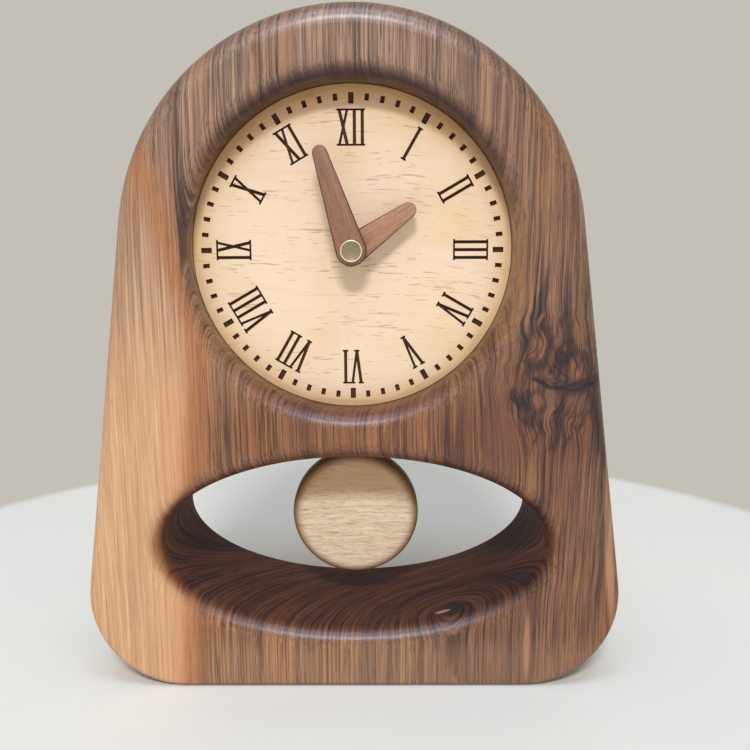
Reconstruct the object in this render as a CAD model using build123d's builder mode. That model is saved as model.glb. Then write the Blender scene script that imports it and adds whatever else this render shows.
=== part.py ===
"""Desk pendulum clock: an arched hardwood case with an oval window, a wooden
dial with wooden hands, and a battery movement that swings a wooden bob.

Frame: millimetres, +Z up, +X to the right as seen from the front, and the
front faces -Y. The origin is on the ground, in the middle of the case.
Depths are measured back from the front face of the case, and heights on the
movement are measured up from the hand shaft.
"""

from build123d import *
from math import atan2, acos, cos, degrees, hypot, radians, sin
import os

os.makedirs("parts", exist_ok=True)

# Case
case_width = 206.4
case_height = 256.8
case_thickness = 64.0
rim_width = 26.0
corner_radius = 37.0
arch_edge_radius = 8.5
foot_edge_radius = 2.5
rear_edge_radius = 3.0
cut_overrun = 3.0

# Dial and its recess, concentric with the arch
dial_recess_diameter = 120.0
dial_recess_clearance = 0.1
dial_depth = 14.0
dial_thickness = 6.0
lip_radius = 7.5

# Oval window, between the sides, the foot and the wood under the dial
window_side_wall = 27.8
window_foot_wall = 23.0
window_bridge = 18.2
window_rear_lip_radius = 3.0

# Pocket for the movement, open at the back, and the rod's channel
pocket_clearance = 4.0
pocket_corner_radius = 7.0
channel_width = 28.0
channel_depth = 26.0

# Hands
hand_thickness = 3.0
hand_hub_radius = 5.6
hour_hand_length = 29.0
hour_hand_tip_radius = 2.9
hour_hand_angle = 55.2
hour_hand_lift = 4.4
minute_hand_length = 42.0
minute_hand_tip_radius = 2.7
minute_hand_angle = -17.6
minute_hand_gap = 1.0
hand_bush_wall = 0.8

# Nut that closes the hands
hand_nut_diameter = 8.0
hand_nut_height = 1.6
hand_nut_rim = 0.35
hand_nut_thread_depth = 0.9
hand_nut_thread_diameter = 2.6

# Fits
press_clearance = 0.02
running_clearance = 0.05
side_play = 0.3

# Centre bush, its nut and the washer behind the dial
bush_diameter = 7.0
bush_rise = 3.6
bush_flange_diameter = 10.0
bush_flange_thickness = 0.8
dial_hole_clearance = 0.2
mounting_nut_flats = 9.5
mounting_nut_thickness = 2.0
washer_diameter = 24.0
washer_thickness = 1.0

# Movement shells
movement_width = 56.0
movement_thickness = 17.0
works_rise = 28.0
battery_bay_drop = 29.0
drive_box_width = 40.0
front_shell_thickness = 9.0
shell_wall = 1.2
shell_plate = 1.5
shell_corner_radius = 3.0
drive_slot_width = 22.0

# Arbors and pivots
hour_pipe_diameter = 5.0
minute_arbor_diameter = 3.5
centre_seat_diameter = 3.0
pivot_diameter = 1.0
pivot_reach = 0.8
stud_diameter = 1.5
post_diameter = 2.6

# Gear teeth
motion_module = 0.4
hour_module = 0.384
train_module = 0.35
cannon_teeth = 12
motion_wheel_teeth = 36
motion_pinion_teeth = 10
hour_wheel_teeth = 40
setting_teeth = 12
centre_wheel_teeth = 64
third_pinion_teeth = 8
third_wheel_teeth = 60
rotor_pinion_teeth = 8
addendum_share = 0.8
dedendum_share = 1.1
tooth_root_share = 0.5
tooth_tip_share = 0.2

# Directions from one gear axis to the next, seen from the front
motion_direction = 143.0
setting_direction = 150.0
third_direction = 10.0
rotor_direction = 75.0

# Thickness of the wheels and the gaps between their layers
wheel_thickness = 1.2
pinion_extra = 0.8
layer_gap = 0.4

# Stepping motor
rotor_magnet_diameter = 5.2
rotor_magnet_length = 2.4
stator_bore_diameter = 6.2
stator_thickness = 1.0
stator_bar_height = 7.6
stator_left_end = 6.0
stator_right_margin = 4.6
stator_tab_width = 4.0
core_height_above_shaft = 22.6
core_width = 3.0
coil_width = 6.2
coil_length = 12.0
coil_flange_width = 7.2
coil_flange_thickness = 0.8

# Circuit board
board_width = 6.6
board_height = 36.0
board_thickness = 1.0
board_edge_gap = 0.3

# Battery, its bay and contacts
battery_diameter = 14.2
battery_length = 49.4
battery_terminal_diameter = 5.2
battery_terminal_length = 1.1
battery_edge = 0.5
battery_gap = 0.3
contact_thickness = 0.4
contact_width = 9.0
contact_height = 9.0
contact_bow = 2.1

# Setting knob at the back
knob_diameter = 10.0
knob_thickness = 2.4
knob_gap = 0.4
knob_shaft_diameter = 2.4
knob_grooves = 16
knob_groove_radius = 0.45

# Pendulum drive and hanger
pivot_drop = 33.5
pivot_pin_diameter = 1.5
hanger_thickness = 4.0
hanger_eye_diameter = 6.4
hanger_arm_width = 7.0
hanger_reach = 6.0
magnet_drop = 52.0
hanger_pad_diameter = 10.6
hanger_magnet_diameter = 8.0
hanger_magnet_thickness = 2.4
drive_coil_diameter = 16.0
drive_coil_bore = 7.0
drive_coil_gap = 2.6
drive_coil_foot_gap = 0.8

# Rod and bob
rod_diameter = 2.2
rod_depth = 34.0
rod_grip = 8.0
bob_top_gap = 4.9
bob_foot_gap = 12.3
bob_thickness = 12.0
bob_edge_radius = 4.0
bob_seat_share = 0.27

# Sizes that follow from the ones above
arch_radius = dial_recess_diameter / 2 + rim_width
shaft_height = case_height - arch_radius
window_top = shaft_height - dial_recess_diameter / 2 - window_bridge
window_height = window_top - window_foot_wall
window_width = case_width - 2 * window_side_wall
window_centre_height = (window_top + window_foot_wall) / 2
bob_diameter = window_height - bob_top_gap - bob_foot_gap
bob_height = window_foot_wall + bob_foot_gap + bob_diameter / 2
corner_centre_x = case_width / 2 - corner_radius
corner_spacing = hypot(corner_centre_x, shaft_height - corner_radius)
side_taper = degrees(
    acos((arch_radius - corner_radius) / corner_spacing)
    - atan2(shaft_height - corner_radius, corner_centre_x)
)
dial_back_depth = dial_depth + dial_thickness
movement_front = dial_back_depth + washer_thickness
movement_back = movement_front + movement_thickness
shell_split = movement_front + front_shell_thickness
inside_front = movement_front + shell_plate
inside_back = movement_back - shell_plate
rod_y = rod_depth - case_thickness / 2
drive_box_drop = magnet_drop + drive_coil_diameter / 2 + drive_coil_foot_gap + shell_wall
hanger_drop = drive_box_drop + hanger_reach
battery_bay_height = battery_diameter + 2 * battery_gap
battery_height = battery_bay_height / 2 + shell_wall - battery_bay_drop

# Depths of the gear layers, from the dial towards the back
hour_wheel_front = inside_front + bush_flange_thickness + side_play
cannon_front = hour_wheel_front + wheel_thickness + layer_gap
centre_wheel_front = cannon_front + wheel_thickness + pinion_extra + layer_gap
third_wheel_front = centre_wheel_front + wheel_thickness + pinion_extra + layer_gap
rotor_magnet_front = third_wheel_front + wheel_thickness + pinion_extra + layer_gap
stator_front = rotor_magnet_front + (rotor_magnet_length - stator_thickness) / 2


def polar(distance, angle, origin=(0.0, 0.0)):
    """Point at a distance and an angle from another point, in the gear plane."""
    turn = radians(angle)
    return (origin[0] + distance * cos(turn), origin[1] + distance * sin(turn))


def centre_distance(module, teeth_a, teeth_b):
    """Distance between the axes of two gears in mesh."""
    return module * (teeth_a + teeth_b) / 2


def meshed_phase(phase, teeth, other_teeth, direction):
    """Angle of a tooth on the second gear that lets it mesh with the first."""
    lead = phase - direction
    return direction + 180 - lead * teeth / other_teeth + 180 / other_teeth


# Gear axes in the plane of the dial, measured from the hand shaft
shaft_axis = (0.0, 0.0)
motion_axis = polar(centre_distance(motion_module, cannon_teeth, motion_wheel_teeth), motion_direction)
setting_axis = polar(
    centre_distance(motion_module, motion_wheel_teeth, setting_teeth), setting_direction, motion_axis
)
third_axis = polar(centre_distance(train_module, centre_wheel_teeth, third_pinion_teeth), third_direction)
rotor_axis = polar(
    centre_distance(train_module, third_wheel_teeth, rotor_pinion_teeth), rotor_direction, third_axis
)

# Tooth positions that put every pair in mesh at rest
cannon_phase = motion_direction
motion_phase = meshed_phase(cannon_phase, cannon_teeth, motion_wheel_teeth, motion_direction)
setting_phase = meshed_phase(motion_phase, motion_wheel_teeth, setting_teeth, setting_direction)
hour_phase = motion_direction
motion_pinion_phase = meshed_phase(hour_phase, hour_wheel_teeth, motion_pinion_teeth, motion_direction)
centre_phase = third_direction
third_pinion_phase = meshed_phase(centre_phase, centre_wheel_teeth, third_pinion_teeth, third_direction)
third_phase = rotor_direction
rotor_phase = meshed_phase(third_phase, third_wheel_teeth, rotor_pinion_teeth, rotor_direction)


def depth_plane(depth):
    """Plane parallel to the front face at a depth behind it; +Z faces the front."""
    return Plane.XZ.offset(case_thickness / 2 - depth)


def works_point(point):
    """Sketch position on a depth plane of a point measured from the hand shaft."""
    return (point[0], shaft_height + point[1])


def disc(point, diameter, front, back, mode=Mode.ADD):
    """Round piece of a movement part between two depths."""
    with BuildSketch(depth_plane(front)) as profile:
        with Locations(works_point(point)):
            Circle(diameter / 2)
    extrude(profile.sketch, amount=front - back, mode=mode)


def gear(point, teeth, module, phase, front, back):
    """Spur gear of a clock train: straight flanks and flat-topped teeth."""
    pitch = 360 / teeth
    pitch_radius = module * teeth / 2
    tip_radius = pitch_radius + addendum_share * module
    root_radius = pitch_radius - dedendum_share * module
    corners = []
    for tooth in range(teeth):
        middle = phase + tooth * pitch
        for radius, offset_share in (
            (root_radius, -tooth_root_share),
            (tip_radius, -tooth_tip_share),
            (tip_radius, tooth_tip_share),
            (root_radius, tooth_root_share),
        ):
            corners.append(polar(radius, middle + offset_share * pitch / 2, works_point(point)))
    with BuildSketch(depth_plane(front)) as profile:
        with BuildLine():
            Polyline(*corners, close=True)
        make_face()
    extrude(profile.sketch, amount=front - back)


def pivot_post(point, front, back, bore_from):
    """Post with a blind bearing hole for a pivot, opening towards bore_from."""
    disc(point, post_diameter, front, back)
    bore = pivot_diameter + 2 * running_clearance
    if bore_from == "back":
        disc(point, bore, back - pivot_reach, back, Mode.SUBTRACT)
    else:
        disc(point, bore, front, front + pivot_reach, Mode.SUBTRACT)


def keep(builder, name):
    """Name a finished piece and write its file."""
    builder.part.label = name
    export_step(builder.part, f"parts/{name}.step")


# Case body
def edge_plane(centre_x, centre_height, angle):
    """Plane across the case's front edge, seen along the outline."""
    turn = radians(angle)
    return Plane(
        origin=(centre_x, -case_thickness / 2, centre_height),
        x_dir=(cos(turn), 0, sin(turn)),
        z_dir=(-sin(turn), 0, cos(turn)),
    )


def edge_waste(plane, reach, radius):
    """Section of the wood that rounding takes off a front edge at this reach."""
    outside = reach + cut_overrun
    with BuildSketch(plane) as section:
        with BuildLine():
            RadiusArc((reach - radius, 0), (reach, radius), -radius)
            Polyline(
                (reach, radius),
                (outside, radius),
                (outside, -cut_overrun),
                (reach - radius, -cut_overrun),
                (reach - radius, 0),
            )
        make_face()
    return section.sketch


pocket_top = works_rise + pocket_clearance
pocket_bottom = -drive_box_drop - pocket_clearance

with BuildPart() as case_body:
    with BuildSketch(depth_plane(0)):
        with Locations((0, shaft_height)):
            Circle(arch_radius)
        with Locations((-corner_centre_x, corner_radius), (corner_centre_x, corner_radius)):
            Circle(corner_radius)
        make_hull()
    extrude(amount=-case_thickness)
    fillet(case_body.faces().sort_by(Axis.Y)[-1].edges(), rear_edge_radius)

    # Front edge: rounded well over the arch, fading down the sides to the foot
    revolve(
        edge_waste(edge_plane(0, shaft_height, side_taper), arch_radius, arch_edge_radius),
        axis=Axis((0, 0, shaft_height), (0, -1, 0)),
        revolution_arc=180 - 2 * side_taper,
        mode=Mode.SUBTRACT,
    )
    for side in (1, -1):
        side_angle = side_taper if side == 1 else 180 - side_taper
        corner_x = side * corner_centre_x
        side_top = edge_waste(edge_plane(0, shaft_height, side_angle), arch_radius, arch_edge_radius)
        side_foot = edge_waste(
            edge_plane(corner_x, corner_radius, side_angle), corner_radius, foot_edge_radius
        )
        loft(sections=[side_top, side_foot], ruled=True, mode=Mode.SUBTRACT)
        revolve(
            side_foot,
            axis=Axis((corner_x, 0, corner_radius), (0, side, 0)),
            revolution_arc=90 + side_taper,
            mode=Mode.SUBTRACT,
        )
    foot = edge_waste(edge_plane(corner_centre_x, corner_radius, -90), corner_radius, foot_edge_radius)
    extrude(foot, amount=-2 * corner_centre_x, mode=Mode.SUBTRACT)

    # Dial recess and window, with rounded lips
    with BuildSketch(depth_plane(0)):
        with Locations((0, shaft_height)):
            Circle(dial_recess_diameter / 2)
    extrude(amount=-dial_back_depth, mode=Mode.SUBTRACT)
    with BuildSketch(depth_plane(0)):
        with Locations((0, window_centre_height)):
            Ellipse(window_width / 2, window_height / 2)
    extrude(amount=-case_thickness, mode=Mode.SUBTRACT)
    front_face = case_body.faces().filter_by(Axis.Y).sort_by(Axis.Y)[0]
    fillet(front_face.inner_wires().edges(), lip_radius)
    rear_face = case_body.faces().filter_by(Axis.Y).sort_by(Axis.Y)[-1]
    fillet(rear_face.inner_wires().edges(), window_rear_lip_radius)

    # Pocket and rod channel, routed from the back
    with BuildSketch(depth_plane(case_thickness)):
        with Locations(works_point((0, (pocket_top + pocket_bottom) / 2))):
            RectangleRounded(
                movement_width + 2 * pocket_clearance,
                pocket_top - pocket_bottom,
                pocket_corner_radius,
            )
    extrude(amount=case_thickness - dial_back_depth, mode=Mode.SUBTRACT)
    channel_top = shaft_height + pocket_bottom + pocket_corner_radius
    with BuildSketch(depth_plane(case_thickness)):
        with Locations((0, (channel_top + window_centre_height) / 2)):
            Rectangle(channel_width, channel_top - window_centre_height)
    extrude(amount=case_thickness - channel_depth, mode=Mode.SUBTRACT)
keep(case_body, "case_body")


# Dial
bush_hole_diameter = bush_diameter + 2 * dial_hole_clearance
dial_diameter = dial_recess_diameter - 2 * dial_recess_clearance

with BuildPart() as dial:
    disc(shaft_axis, dial_diameter, dial_depth, dial_back_depth)
    disc(shaft_axis, bush_hole_diameter, dial_depth, dial_back_depth, Mode.SUBTRACT)
keep(dial, "dial")


# Hands: a round hub that tapers to a smaller round tip, on a brass bush
hour_hand_back = dial_depth - hour_hand_lift
hour_hand_front = hour_hand_back - hand_thickness
minute_hand_back = hour_hand_front - minute_hand_gap
minute_hand_front = minute_hand_back - hand_thickness


def hand(length, tip_radius, angle, front, back, bush_outer):
    """Wooden hand that points at an angle clockwise from twelve."""
    tip_centre = polar(length - tip_radius, 90 - angle)
    with BuildSketch(depth_plane(front)) as outline:
        with Locations(works_point(shaft_axis)):
            Circle(hand_hub_radius)
        with Locations(works_point(tip_centre)):
            Circle(tip_radius)
        make_hull()
    extrude(outline.sketch, amount=front - back)
    disc(shaft_axis, bush_outer + 2 * press_clearance, front, back, Mode.SUBTRACT)


def hand_bush(inner, outer, front, back):
    """Plain brass ring that grips the arbor inside a hand."""
    disc(shaft_axis, outer, front, back)
    disc(shaft_axis, inner + 2 * press_clearance, front, back, Mode.SUBTRACT)


hour_bush_outer = hour_pipe_diameter + 2 * hand_bush_wall
minute_bush_outer = minute_arbor_diameter + 2 * hand_bush_wall

with BuildPart() as hour_hand:
    hand(
        hour_hand_length, hour_hand_tip_radius, hour_hand_angle,
        hour_hand_front, hour_hand_back, hour_bush_outer,
    )
keep(hour_hand, "hour_hand")

with BuildPart() as hour_hand_bush:
    hand_bush(hour_pipe_diameter, hour_bush_outer, hour_hand_front, hour_hand_back)
keep(hour_hand_bush, "hour_hand_bush")

with BuildPart() as minute_hand:
    hand(
        minute_hand_length, minute_hand_tip_radius, minute_hand_angle,
        minute_hand_front, minute_hand_back, minute_bush_outer,
    )
keep(minute_hand, "minute_hand")

with BuildPart() as minute_hand_bush:
    hand_bush(minute_arbor_diameter, minute_bush_outer, minute_hand_front, minute_hand_back)
keep(minute_hand_bush, "minute_hand_bush")

# Closed nut on the front end of the minute arbor
nut_front = minute_hand_front - hand_nut_height
thread_front = minute_hand_front - hand_nut_thread_depth

with BuildPart() as hand_nut:
    disc(shaft_axis, hand_nut_diameter, nut_front, minute_hand_front)
    chamfer(hand_nut.faces().sort_by(Axis.Y)[0].edges(), hand_nut_rim)
    disc(
        shaft_axis, hand_nut_thread_diameter + 2 * press_clearance,
        thread_front, minute_hand_front, Mode.SUBTRACT,
    )
keep(hand_nut, "hand_nut")


# Centre bush, its nut and the washer behind the dial
bush_front = dial_depth - bush_rise
flange_back = inside_front + bush_flange_thickness

with BuildPart() as centre_bush:
    disc(shaft_axis, bush_diameter, bush_front, inside_front)
    disc(shaft_axis, bush_flange_diameter, inside_front, flange_back)
    disc(shaft_axis, hour_pipe_diameter + 2 * running_clearance, bush_front, flange_back, Mode.SUBTRACT)
keep(centre_bush, "centre_bush")

with BuildPart() as mounting_nut:
    with BuildSketch(depth_plane(dial_depth)):
        with Locations(works_point(shaft_axis)):
            RegularPolygon(mounting_nut_flats / 2, 6, major_radius=False)
            Circle(bush_diameter / 2 + press_clearance, mode=Mode.SUBTRACT)
    extrude(amount=mounting_nut_thickness)
keep(mounting_nut, "mounting_nut")

with BuildPart() as rubber_washer:
    disc(shaft_axis, washer_diameter, dial_back_depth, movement_front)
    disc(shaft_axis, bush_hole_diameter, dial_back_depth, movement_front, Mode.SUBTRACT)
keep(rubber_washer, "rubber_washer")


# Movement shells
def block(width, low, high, corner=0.0):
    """Upright rectangle on the middle line, between two heights on the movement."""
    with Locations(works_point((0, (low + high) / 2))):
        if corner:
            RectangleRounded(width, high - low, corner)
        else:
            Rectangle(width, high - low)


def shell_outline():
    """Outside of the movement: the works with the narrower drive box below."""
    block(movement_width, -battery_bay_drop, works_rise, shell_corner_radius)
    block(
        drive_box_width, -drive_box_drop,
        shell_corner_radius - battery_bay_drop, shell_corner_radius,
    )


inner_width = movement_width - 2 * shell_wall
inner_corner = shell_corner_radius - shell_wall
bay_floor = shell_wall - battery_bay_drop
bay_top = bay_floor + battery_bay_height
works_floor = bay_top + shell_wall
works_ceiling = works_rise - shell_wall
drive_floor = shell_wall - drive_box_drop


def shell_rooms():
    """The three rooms inside the movement: works, battery bay and drive box."""
    block(inner_width, works_floor, works_ceiling, inner_corner)
    block(inner_width, bay_floor, bay_top)
    block(drive_box_width - 2 * shell_wall, drive_floor, -battery_bay_drop)


def drive_slot():
    """Gap in the floor of the drive box through which the hanger swings."""
    block(drive_slot_width, -drive_box_drop - cut_overrun, drive_floor + shell_wall)


pivot_point = (0.0, -pivot_drop)
magnet_point = (0.0, -magnet_drop)
pin_hole_diameter = pivot_pin_diameter + 2 * press_clearance
hanger_front = rod_depth - hanger_thickness / 2
hanger_back = rod_depth + hanger_thickness / 2
third_pinion_front = centre_wheel_front - pinion_extra / 2
rotor_pinion_front = third_wheel_front - pinion_extra / 2

with BuildPart() as movement_front_shell:
    with BuildSketch(depth_plane(movement_front)):
        shell_outline()
    extrude(amount=-front_shell_thickness)
    with BuildSketch(depth_plane(inside_front)):
        shell_rooms()
    extrude(amount=inside_front - shell_split, mode=Mode.SUBTRACT)
    with BuildSketch(depth_plane(inside_front)):
        drive_slot()
    extrude(amount=inside_front - shell_split, mode=Mode.SUBTRACT)
    disc(shaft_axis, bush_diameter + 2 * press_clearance, movement_front, inside_front, Mode.SUBTRACT)
    disc(motion_axis, stud_diameter, inside_front, cannon_front + wheel_thickness + layer_gap)
    pivot_post(third_axis, inside_front, third_pinion_front - side_play, "back")
    pivot_post(rotor_axis, inside_front, rotor_pinion_front - side_play, "back")
    disc(pivot_point, hanger_eye_diameter, inside_front, hanger_front - side_play)
    disc(pivot_point, pin_hole_diameter, movement_front + pivot_reach, hanger_front, Mode.SUBTRACT)
keep(movement_front_shell, "movement_front_shell")

# Posts in the rear shell stand under the ends of the stator
stator_back = stator_front + stator_thickness
stator_left = -stator_left_end
stator_right = rotor_axis[0] + stator_right_margin
stator_posts = (
    (stator_left + stator_tab_width / 2, rotor_axis[1]),
    (stator_right - stator_tab_width / 2, core_height_above_shaft),
)
third_wheel_back = third_wheel_front + wheel_thickness
rotor_magnet_back = rotor_magnet_front + rotor_magnet_length
centre_wheel_back = centre_wheel_front + wheel_thickness
knob_hole_diameter = knob_shaft_diameter + 2 * running_clearance

with BuildPart() as movement_rear_shell:
    with BuildSketch(depth_plane(shell_split)):
        shell_outline()
    extrude(amount=shell_split - movement_back)
    with BuildSketch(depth_plane(shell_split)):
        shell_rooms()
        drive_slot()
    extrude(amount=shell_split - inside_back, mode=Mode.SUBTRACT)
    with BuildSketch(depth_plane(inside_back)):
        block(inner_width, bay_floor, bay_top)
    extrude(amount=inside_back - movement_back, mode=Mode.SUBTRACT)
    pivot_post(third_axis, third_wheel_back + side_play, inside_back, "front")
    pivot_post(rotor_axis, rotor_magnet_back + side_play, inside_back, "front")
    pivot_post(shaft_axis, third_wheel_back + side_play, inside_back, "front")
    for post in stator_posts:
        disc(post, post_diameter, stator_back, inside_back)
    disc(pivot_point, hanger_eye_diameter, hanger_back + side_play, inside_back)
    disc(pivot_point, pin_hole_diameter, hanger_back, movement_back - pivot_reach, Mode.SUBTRACT)
    disc(setting_axis, knob_hole_diameter, inside_back, movement_back, Mode.SUBTRACT)
keep(movement_rear_shell, "movement_rear_shell")


# Wheels of the hands
hour_pipe_front = hour_hand_front - press_clearance
cannon_back = cannon_front + wheel_thickness + pinion_extra

with BuildPart() as hour_wheel:
    gear(
        shaft_axis, hour_wheel_teeth, hour_module, hour_phase,
        hour_wheel_front, hour_wheel_front + wheel_thickness,
    )
    disc(shaft_axis, hour_pipe_diameter, hour_pipe_front, hour_wheel_front)
    disc(
        shaft_axis, minute_arbor_diameter + 2 * running_clearance,
        hour_pipe_front, hour_wheel_front + wheel_thickness, Mode.SUBTRACT,
    )
keep(hour_wheel, "hour_wheel")

with BuildPart() as minute_arbor:
    disc(shaft_axis, minute_arbor_diameter, minute_hand_front, cannon_front)
    disc(shaft_axis, hand_nut_thread_diameter, thread_front, minute_hand_front)
    gear(shaft_axis, cannon_teeth, motion_module, cannon_phase, cannon_front, cannon_back)
    disc(shaft_axis, centre_seat_diameter, cannon_back, centre_wheel_back)
    disc(shaft_axis, pivot_diameter, centre_wheel_back, third_wheel_back + side_play + pivot_reach / 2)
keep(minute_arbor, "minute_arbor")

with BuildPart() as centre_wheel:
    gear(
        shaft_axis, centre_wheel_teeth, train_module, centre_phase,
        centre_wheel_front, centre_wheel_back,
    )
    disc(
        shaft_axis, centre_seat_diameter + 2 * press_clearance,
        centre_wheel_front, centre_wheel_back, Mode.SUBTRACT,
    )
keep(centre_wheel, "centre_wheel")

motion_pinion_front = hour_wheel_front - pinion_extra / 2

with BuildPart() as motion_work_wheel:
    gear(
        motion_axis, motion_pinion_teeth, hour_module, motion_pinion_phase,
        motion_pinion_front, cannon_front + pinion_extra / 2,
    )
    gear(
        motion_axis, motion_wheel_teeth, motion_module, motion_phase,
        cannon_front + pinion_extra / 2, cannon_front + pinion_extra / 2 + wheel_thickness,
    )
    disc(
        motion_axis, stud_diameter + 2 * running_clearance,
        motion_pinion_front, cannon_back + wheel_thickness, Mode.SUBTRACT,
    )
keep(motion_work_wheel, "motion_work_wheel")


# Going train and stepping motor
with BuildPart() as third_wheel:
    gear(
        third_axis, third_pinion_teeth, train_module, third_pinion_phase,
        third_pinion_front, third_wheel_front,
    )
    gear(
        third_axis, third_wheel_teeth, train_module, third_phase,
        third_wheel_front, third_wheel_back,
    )
    pivot_ends = side_play + pivot_reach / 2
    disc(third_axis, pivot_diameter, third_pinion_front - pivot_ends, third_pinion_front)
    disc(third_axis, pivot_diameter, third_wheel_back, third_wheel_back + pivot_ends)
keep(third_wheel, "third_wheel")

with BuildPart() as rotor_pinion:
    gear(
        rotor_axis, rotor_pinion_teeth, train_module, rotor_phase,
        rotor_pinion_front, rotor_magnet_front,
    )
    disc(rotor_axis, pivot_diameter, rotor_pinion_front - pivot_ends, rotor_pinion_front)
    disc(rotor_axis, pivot_diameter, rotor_magnet_front, rotor_magnet_back + pivot_ends)
keep(rotor_pinion, "rotor_pinion")

with BuildPart() as rotor_magnet:
    disc(rotor_axis, rotor_magnet_diameter, rotor_magnet_front, rotor_magnet_back)
    disc(
        rotor_axis, pivot_diameter + 2 * press_clearance,
        rotor_magnet_front, rotor_magnet_back, Mode.SUBTRACT,
    )
keep(rotor_magnet, "rotor_magnet")

stator_middle = (stator_left + stator_right) / 2
tab_bottom = rotor_axis[1]
tab_top = core_height_above_shaft + core_width / 2

with BuildPart() as stator:
    with BuildSketch(depth_plane(stator_front)):
        with Locations(works_point((stator_middle, rotor_axis[1]))):
            Rectangle(stator_right - stator_left, stator_bar_height)
        for tab_x in (stator_left + stator_tab_width / 2, stator_right - stator_tab_width / 2):
            with Locations(works_point((tab_x, (tab_bottom + tab_top) / 2))):
                Rectangle(stator_tab_width, tab_top - tab_bottom)
        with Locations(works_point(rotor_axis)):
            Circle(stator_bore_diameter / 2, mode=Mode.SUBTRACT)
    extrude(amount=-stator_thickness)
keep(stator, "stator")

with BuildPart() as coil_core:
    with BuildSketch(depth_plane(stator_front)):
        with Locations(works_point((stator_middle, core_height_above_shaft))):
            Rectangle(stator_right - stator_left, core_width)
    extrude(amount=stator_thickness)
keep(coil_core, "coil_core")

core_middle_depth = stator_front - stator_thickness / 2
coil_span = coil_length + 2 * coil_flange_thickness


def coil_plane(offset):
    """Plane across the motor coil's axis at an offset from its middle."""
    return Plane(
        origin=(
            stator_middle + offset,
            core_middle_depth - case_thickness / 2,
            shaft_height + core_height_above_shaft,
        ),
        x_dir=(0, 1, 0),
        z_dir=(1, 0, 0),
    )


with BuildPart() as motor_coil:
    with BuildSketch(coil_plane(-coil_span / 2)):
        RectangleRounded(coil_flange_width, coil_flange_width, coil_flange_thickness)
    extrude(amount=coil_flange_thickness)
    with BuildSketch(coil_plane(-coil_length / 2)):
        RectangleRounded(coil_width, coil_width, coil_flange_thickness)
    extrude(amount=coil_length)
    with BuildSketch(coil_plane(coil_length / 2)):
        RectangleRounded(coil_flange_width, coil_flange_width, coil_flange_thickness)
    extrude(amount=coil_flange_thickness)
    with BuildSketch(coil_plane(-coil_span / 2)):
        Rectangle(stator_thickness + 2 * press_clearance, core_width + 2 * press_clearance)
    extrude(amount=coil_span, mode=Mode.SUBTRACT)
keep(motor_coil, "motor_coil")

board_x = (board_width - inner_width) / 2 + board_edge_gap
board_middle = works_ceiling - board_edge_gap - board_height / 2

with BuildPart() as circuit_board:
    with BuildSketch(depth_plane(inside_back)):
        with Locations(works_point((board_x, board_middle))):
            RectangleRounded(board_width, board_height, inner_corner)
    extrude(amount=board_thickness)
keep(circuit_board, "circuit_board")


# Battery and its contacts
battery_depth = inside_front + battery_gap + battery_diameter / 2
contact_inner = inner_width / 2 - contact_thickness
terminal_end = contact_inner - battery_gap
can_end = terminal_end - battery_terminal_length


def battery_plane(x):
    """Plane across the battery's axis at a place along it."""
    return Plane(
        origin=(x, battery_depth - case_thickness / 2, shaft_height + battery_height),
        x_dir=(0, 1, 0),
        z_dir=(1, 0, 0),
    )


with BuildPart() as battery:
    with BuildSketch(battery_plane(can_end - battery_length)):
        Circle(battery_diameter / 2)
    extrude(amount=battery_length)
    chamfer(battery.edges(), battery_edge)
    with BuildSketch(battery_plane(can_end)):
        Circle(battery_terminal_diameter / 2)
    extrude(amount=battery_terminal_length)
keep(battery, "battery")

with BuildPart() as battery_contact_positive:
    with BuildSketch(battery_plane(contact_inner)):
        Rectangle(contact_width, contact_height)
    extrude(amount=contact_thickness)
keep(battery_contact_positive, "battery_contact_positive")

# The negative contact is a strip bowed towards the battery
with BuildPart() as battery_contact_negative:
    with BuildSketch(Plane.XY.offset(shaft_height + battery_height - contact_height / 2)):
        strip_x = -inner_width / 2
        strip_y = battery_depth - case_thickness / 2
        bowed_x = strip_x + contact_bow
        with BuildLine():
            ThreePointArc(
                (strip_x, strip_y - contact_width / 2),
                (bowed_x, strip_y),
                (strip_x, strip_y + contact_width / 2),
            )
            Line(
                (strip_x, strip_y + contact_width / 2),
                (strip_x, strip_y + contact_width / 2 - contact_thickness),
            )
            ThreePointArc(
                (strip_x, strip_y + contact_width / 2 - contact_thickness),
                (bowed_x - contact_thickness, strip_y),
                (strip_x, strip_y - contact_width / 2 + contact_thickness),
            )
            Line(
                (strip_x, strip_y - contact_width / 2 + contact_thickness),
                (strip_x, strip_y - contact_width / 2),
            )
        make_face()
    extrude(amount=contact_height)
keep(battery_contact_negative, "battery_contact_negative")


# Setting knob
knob_front = movement_back + knob_gap
setting_gear_front = cannon_front + pinion_extra / 2

with BuildPart() as set_knob:
    disc(setting_axis, knob_diameter, knob_front, knob_front + knob_thickness)
    with BuildSketch(depth_plane(knob_front)):
        with Locations(works_point(setting_axis)):
            with PolarLocations(knob_diameter / 2, knob_grooves):
                Circle(knob_groove_radius)
    extrude(amount=-knob_thickness, mode=Mode.SUBTRACT)
    gear(
        setting_axis, setting_teeth, motion_module, setting_phase,
        setting_gear_front, setting_gear_front + wheel_thickness,
    )
    disc(setting_axis, knob_shaft_diameter, setting_gear_front + wheel_thickness, knob_front)
keep(set_knob, "set_knob")


# Pendulum drive
magnet_back = hanger_front + hanger_magnet_thickness
drive_coil_back = hanger_front - drive_coil_gap

with BuildPart() as drive_coil:
    disc(magnet_point, drive_coil_diameter, inside_front, drive_coil_back)
    disc(magnet_point, drive_coil_bore, inside_front, drive_coil_back, Mode.SUBTRACT)
keep(drive_coil, "drive_coil")

with BuildPart() as pivot_pin:
    disc(
        pivot_point, pivot_pin_diameter,
        movement_front + pivot_reach, movement_back - pivot_reach,
    )
keep(pivot_pin, "pivot_pin")


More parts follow.
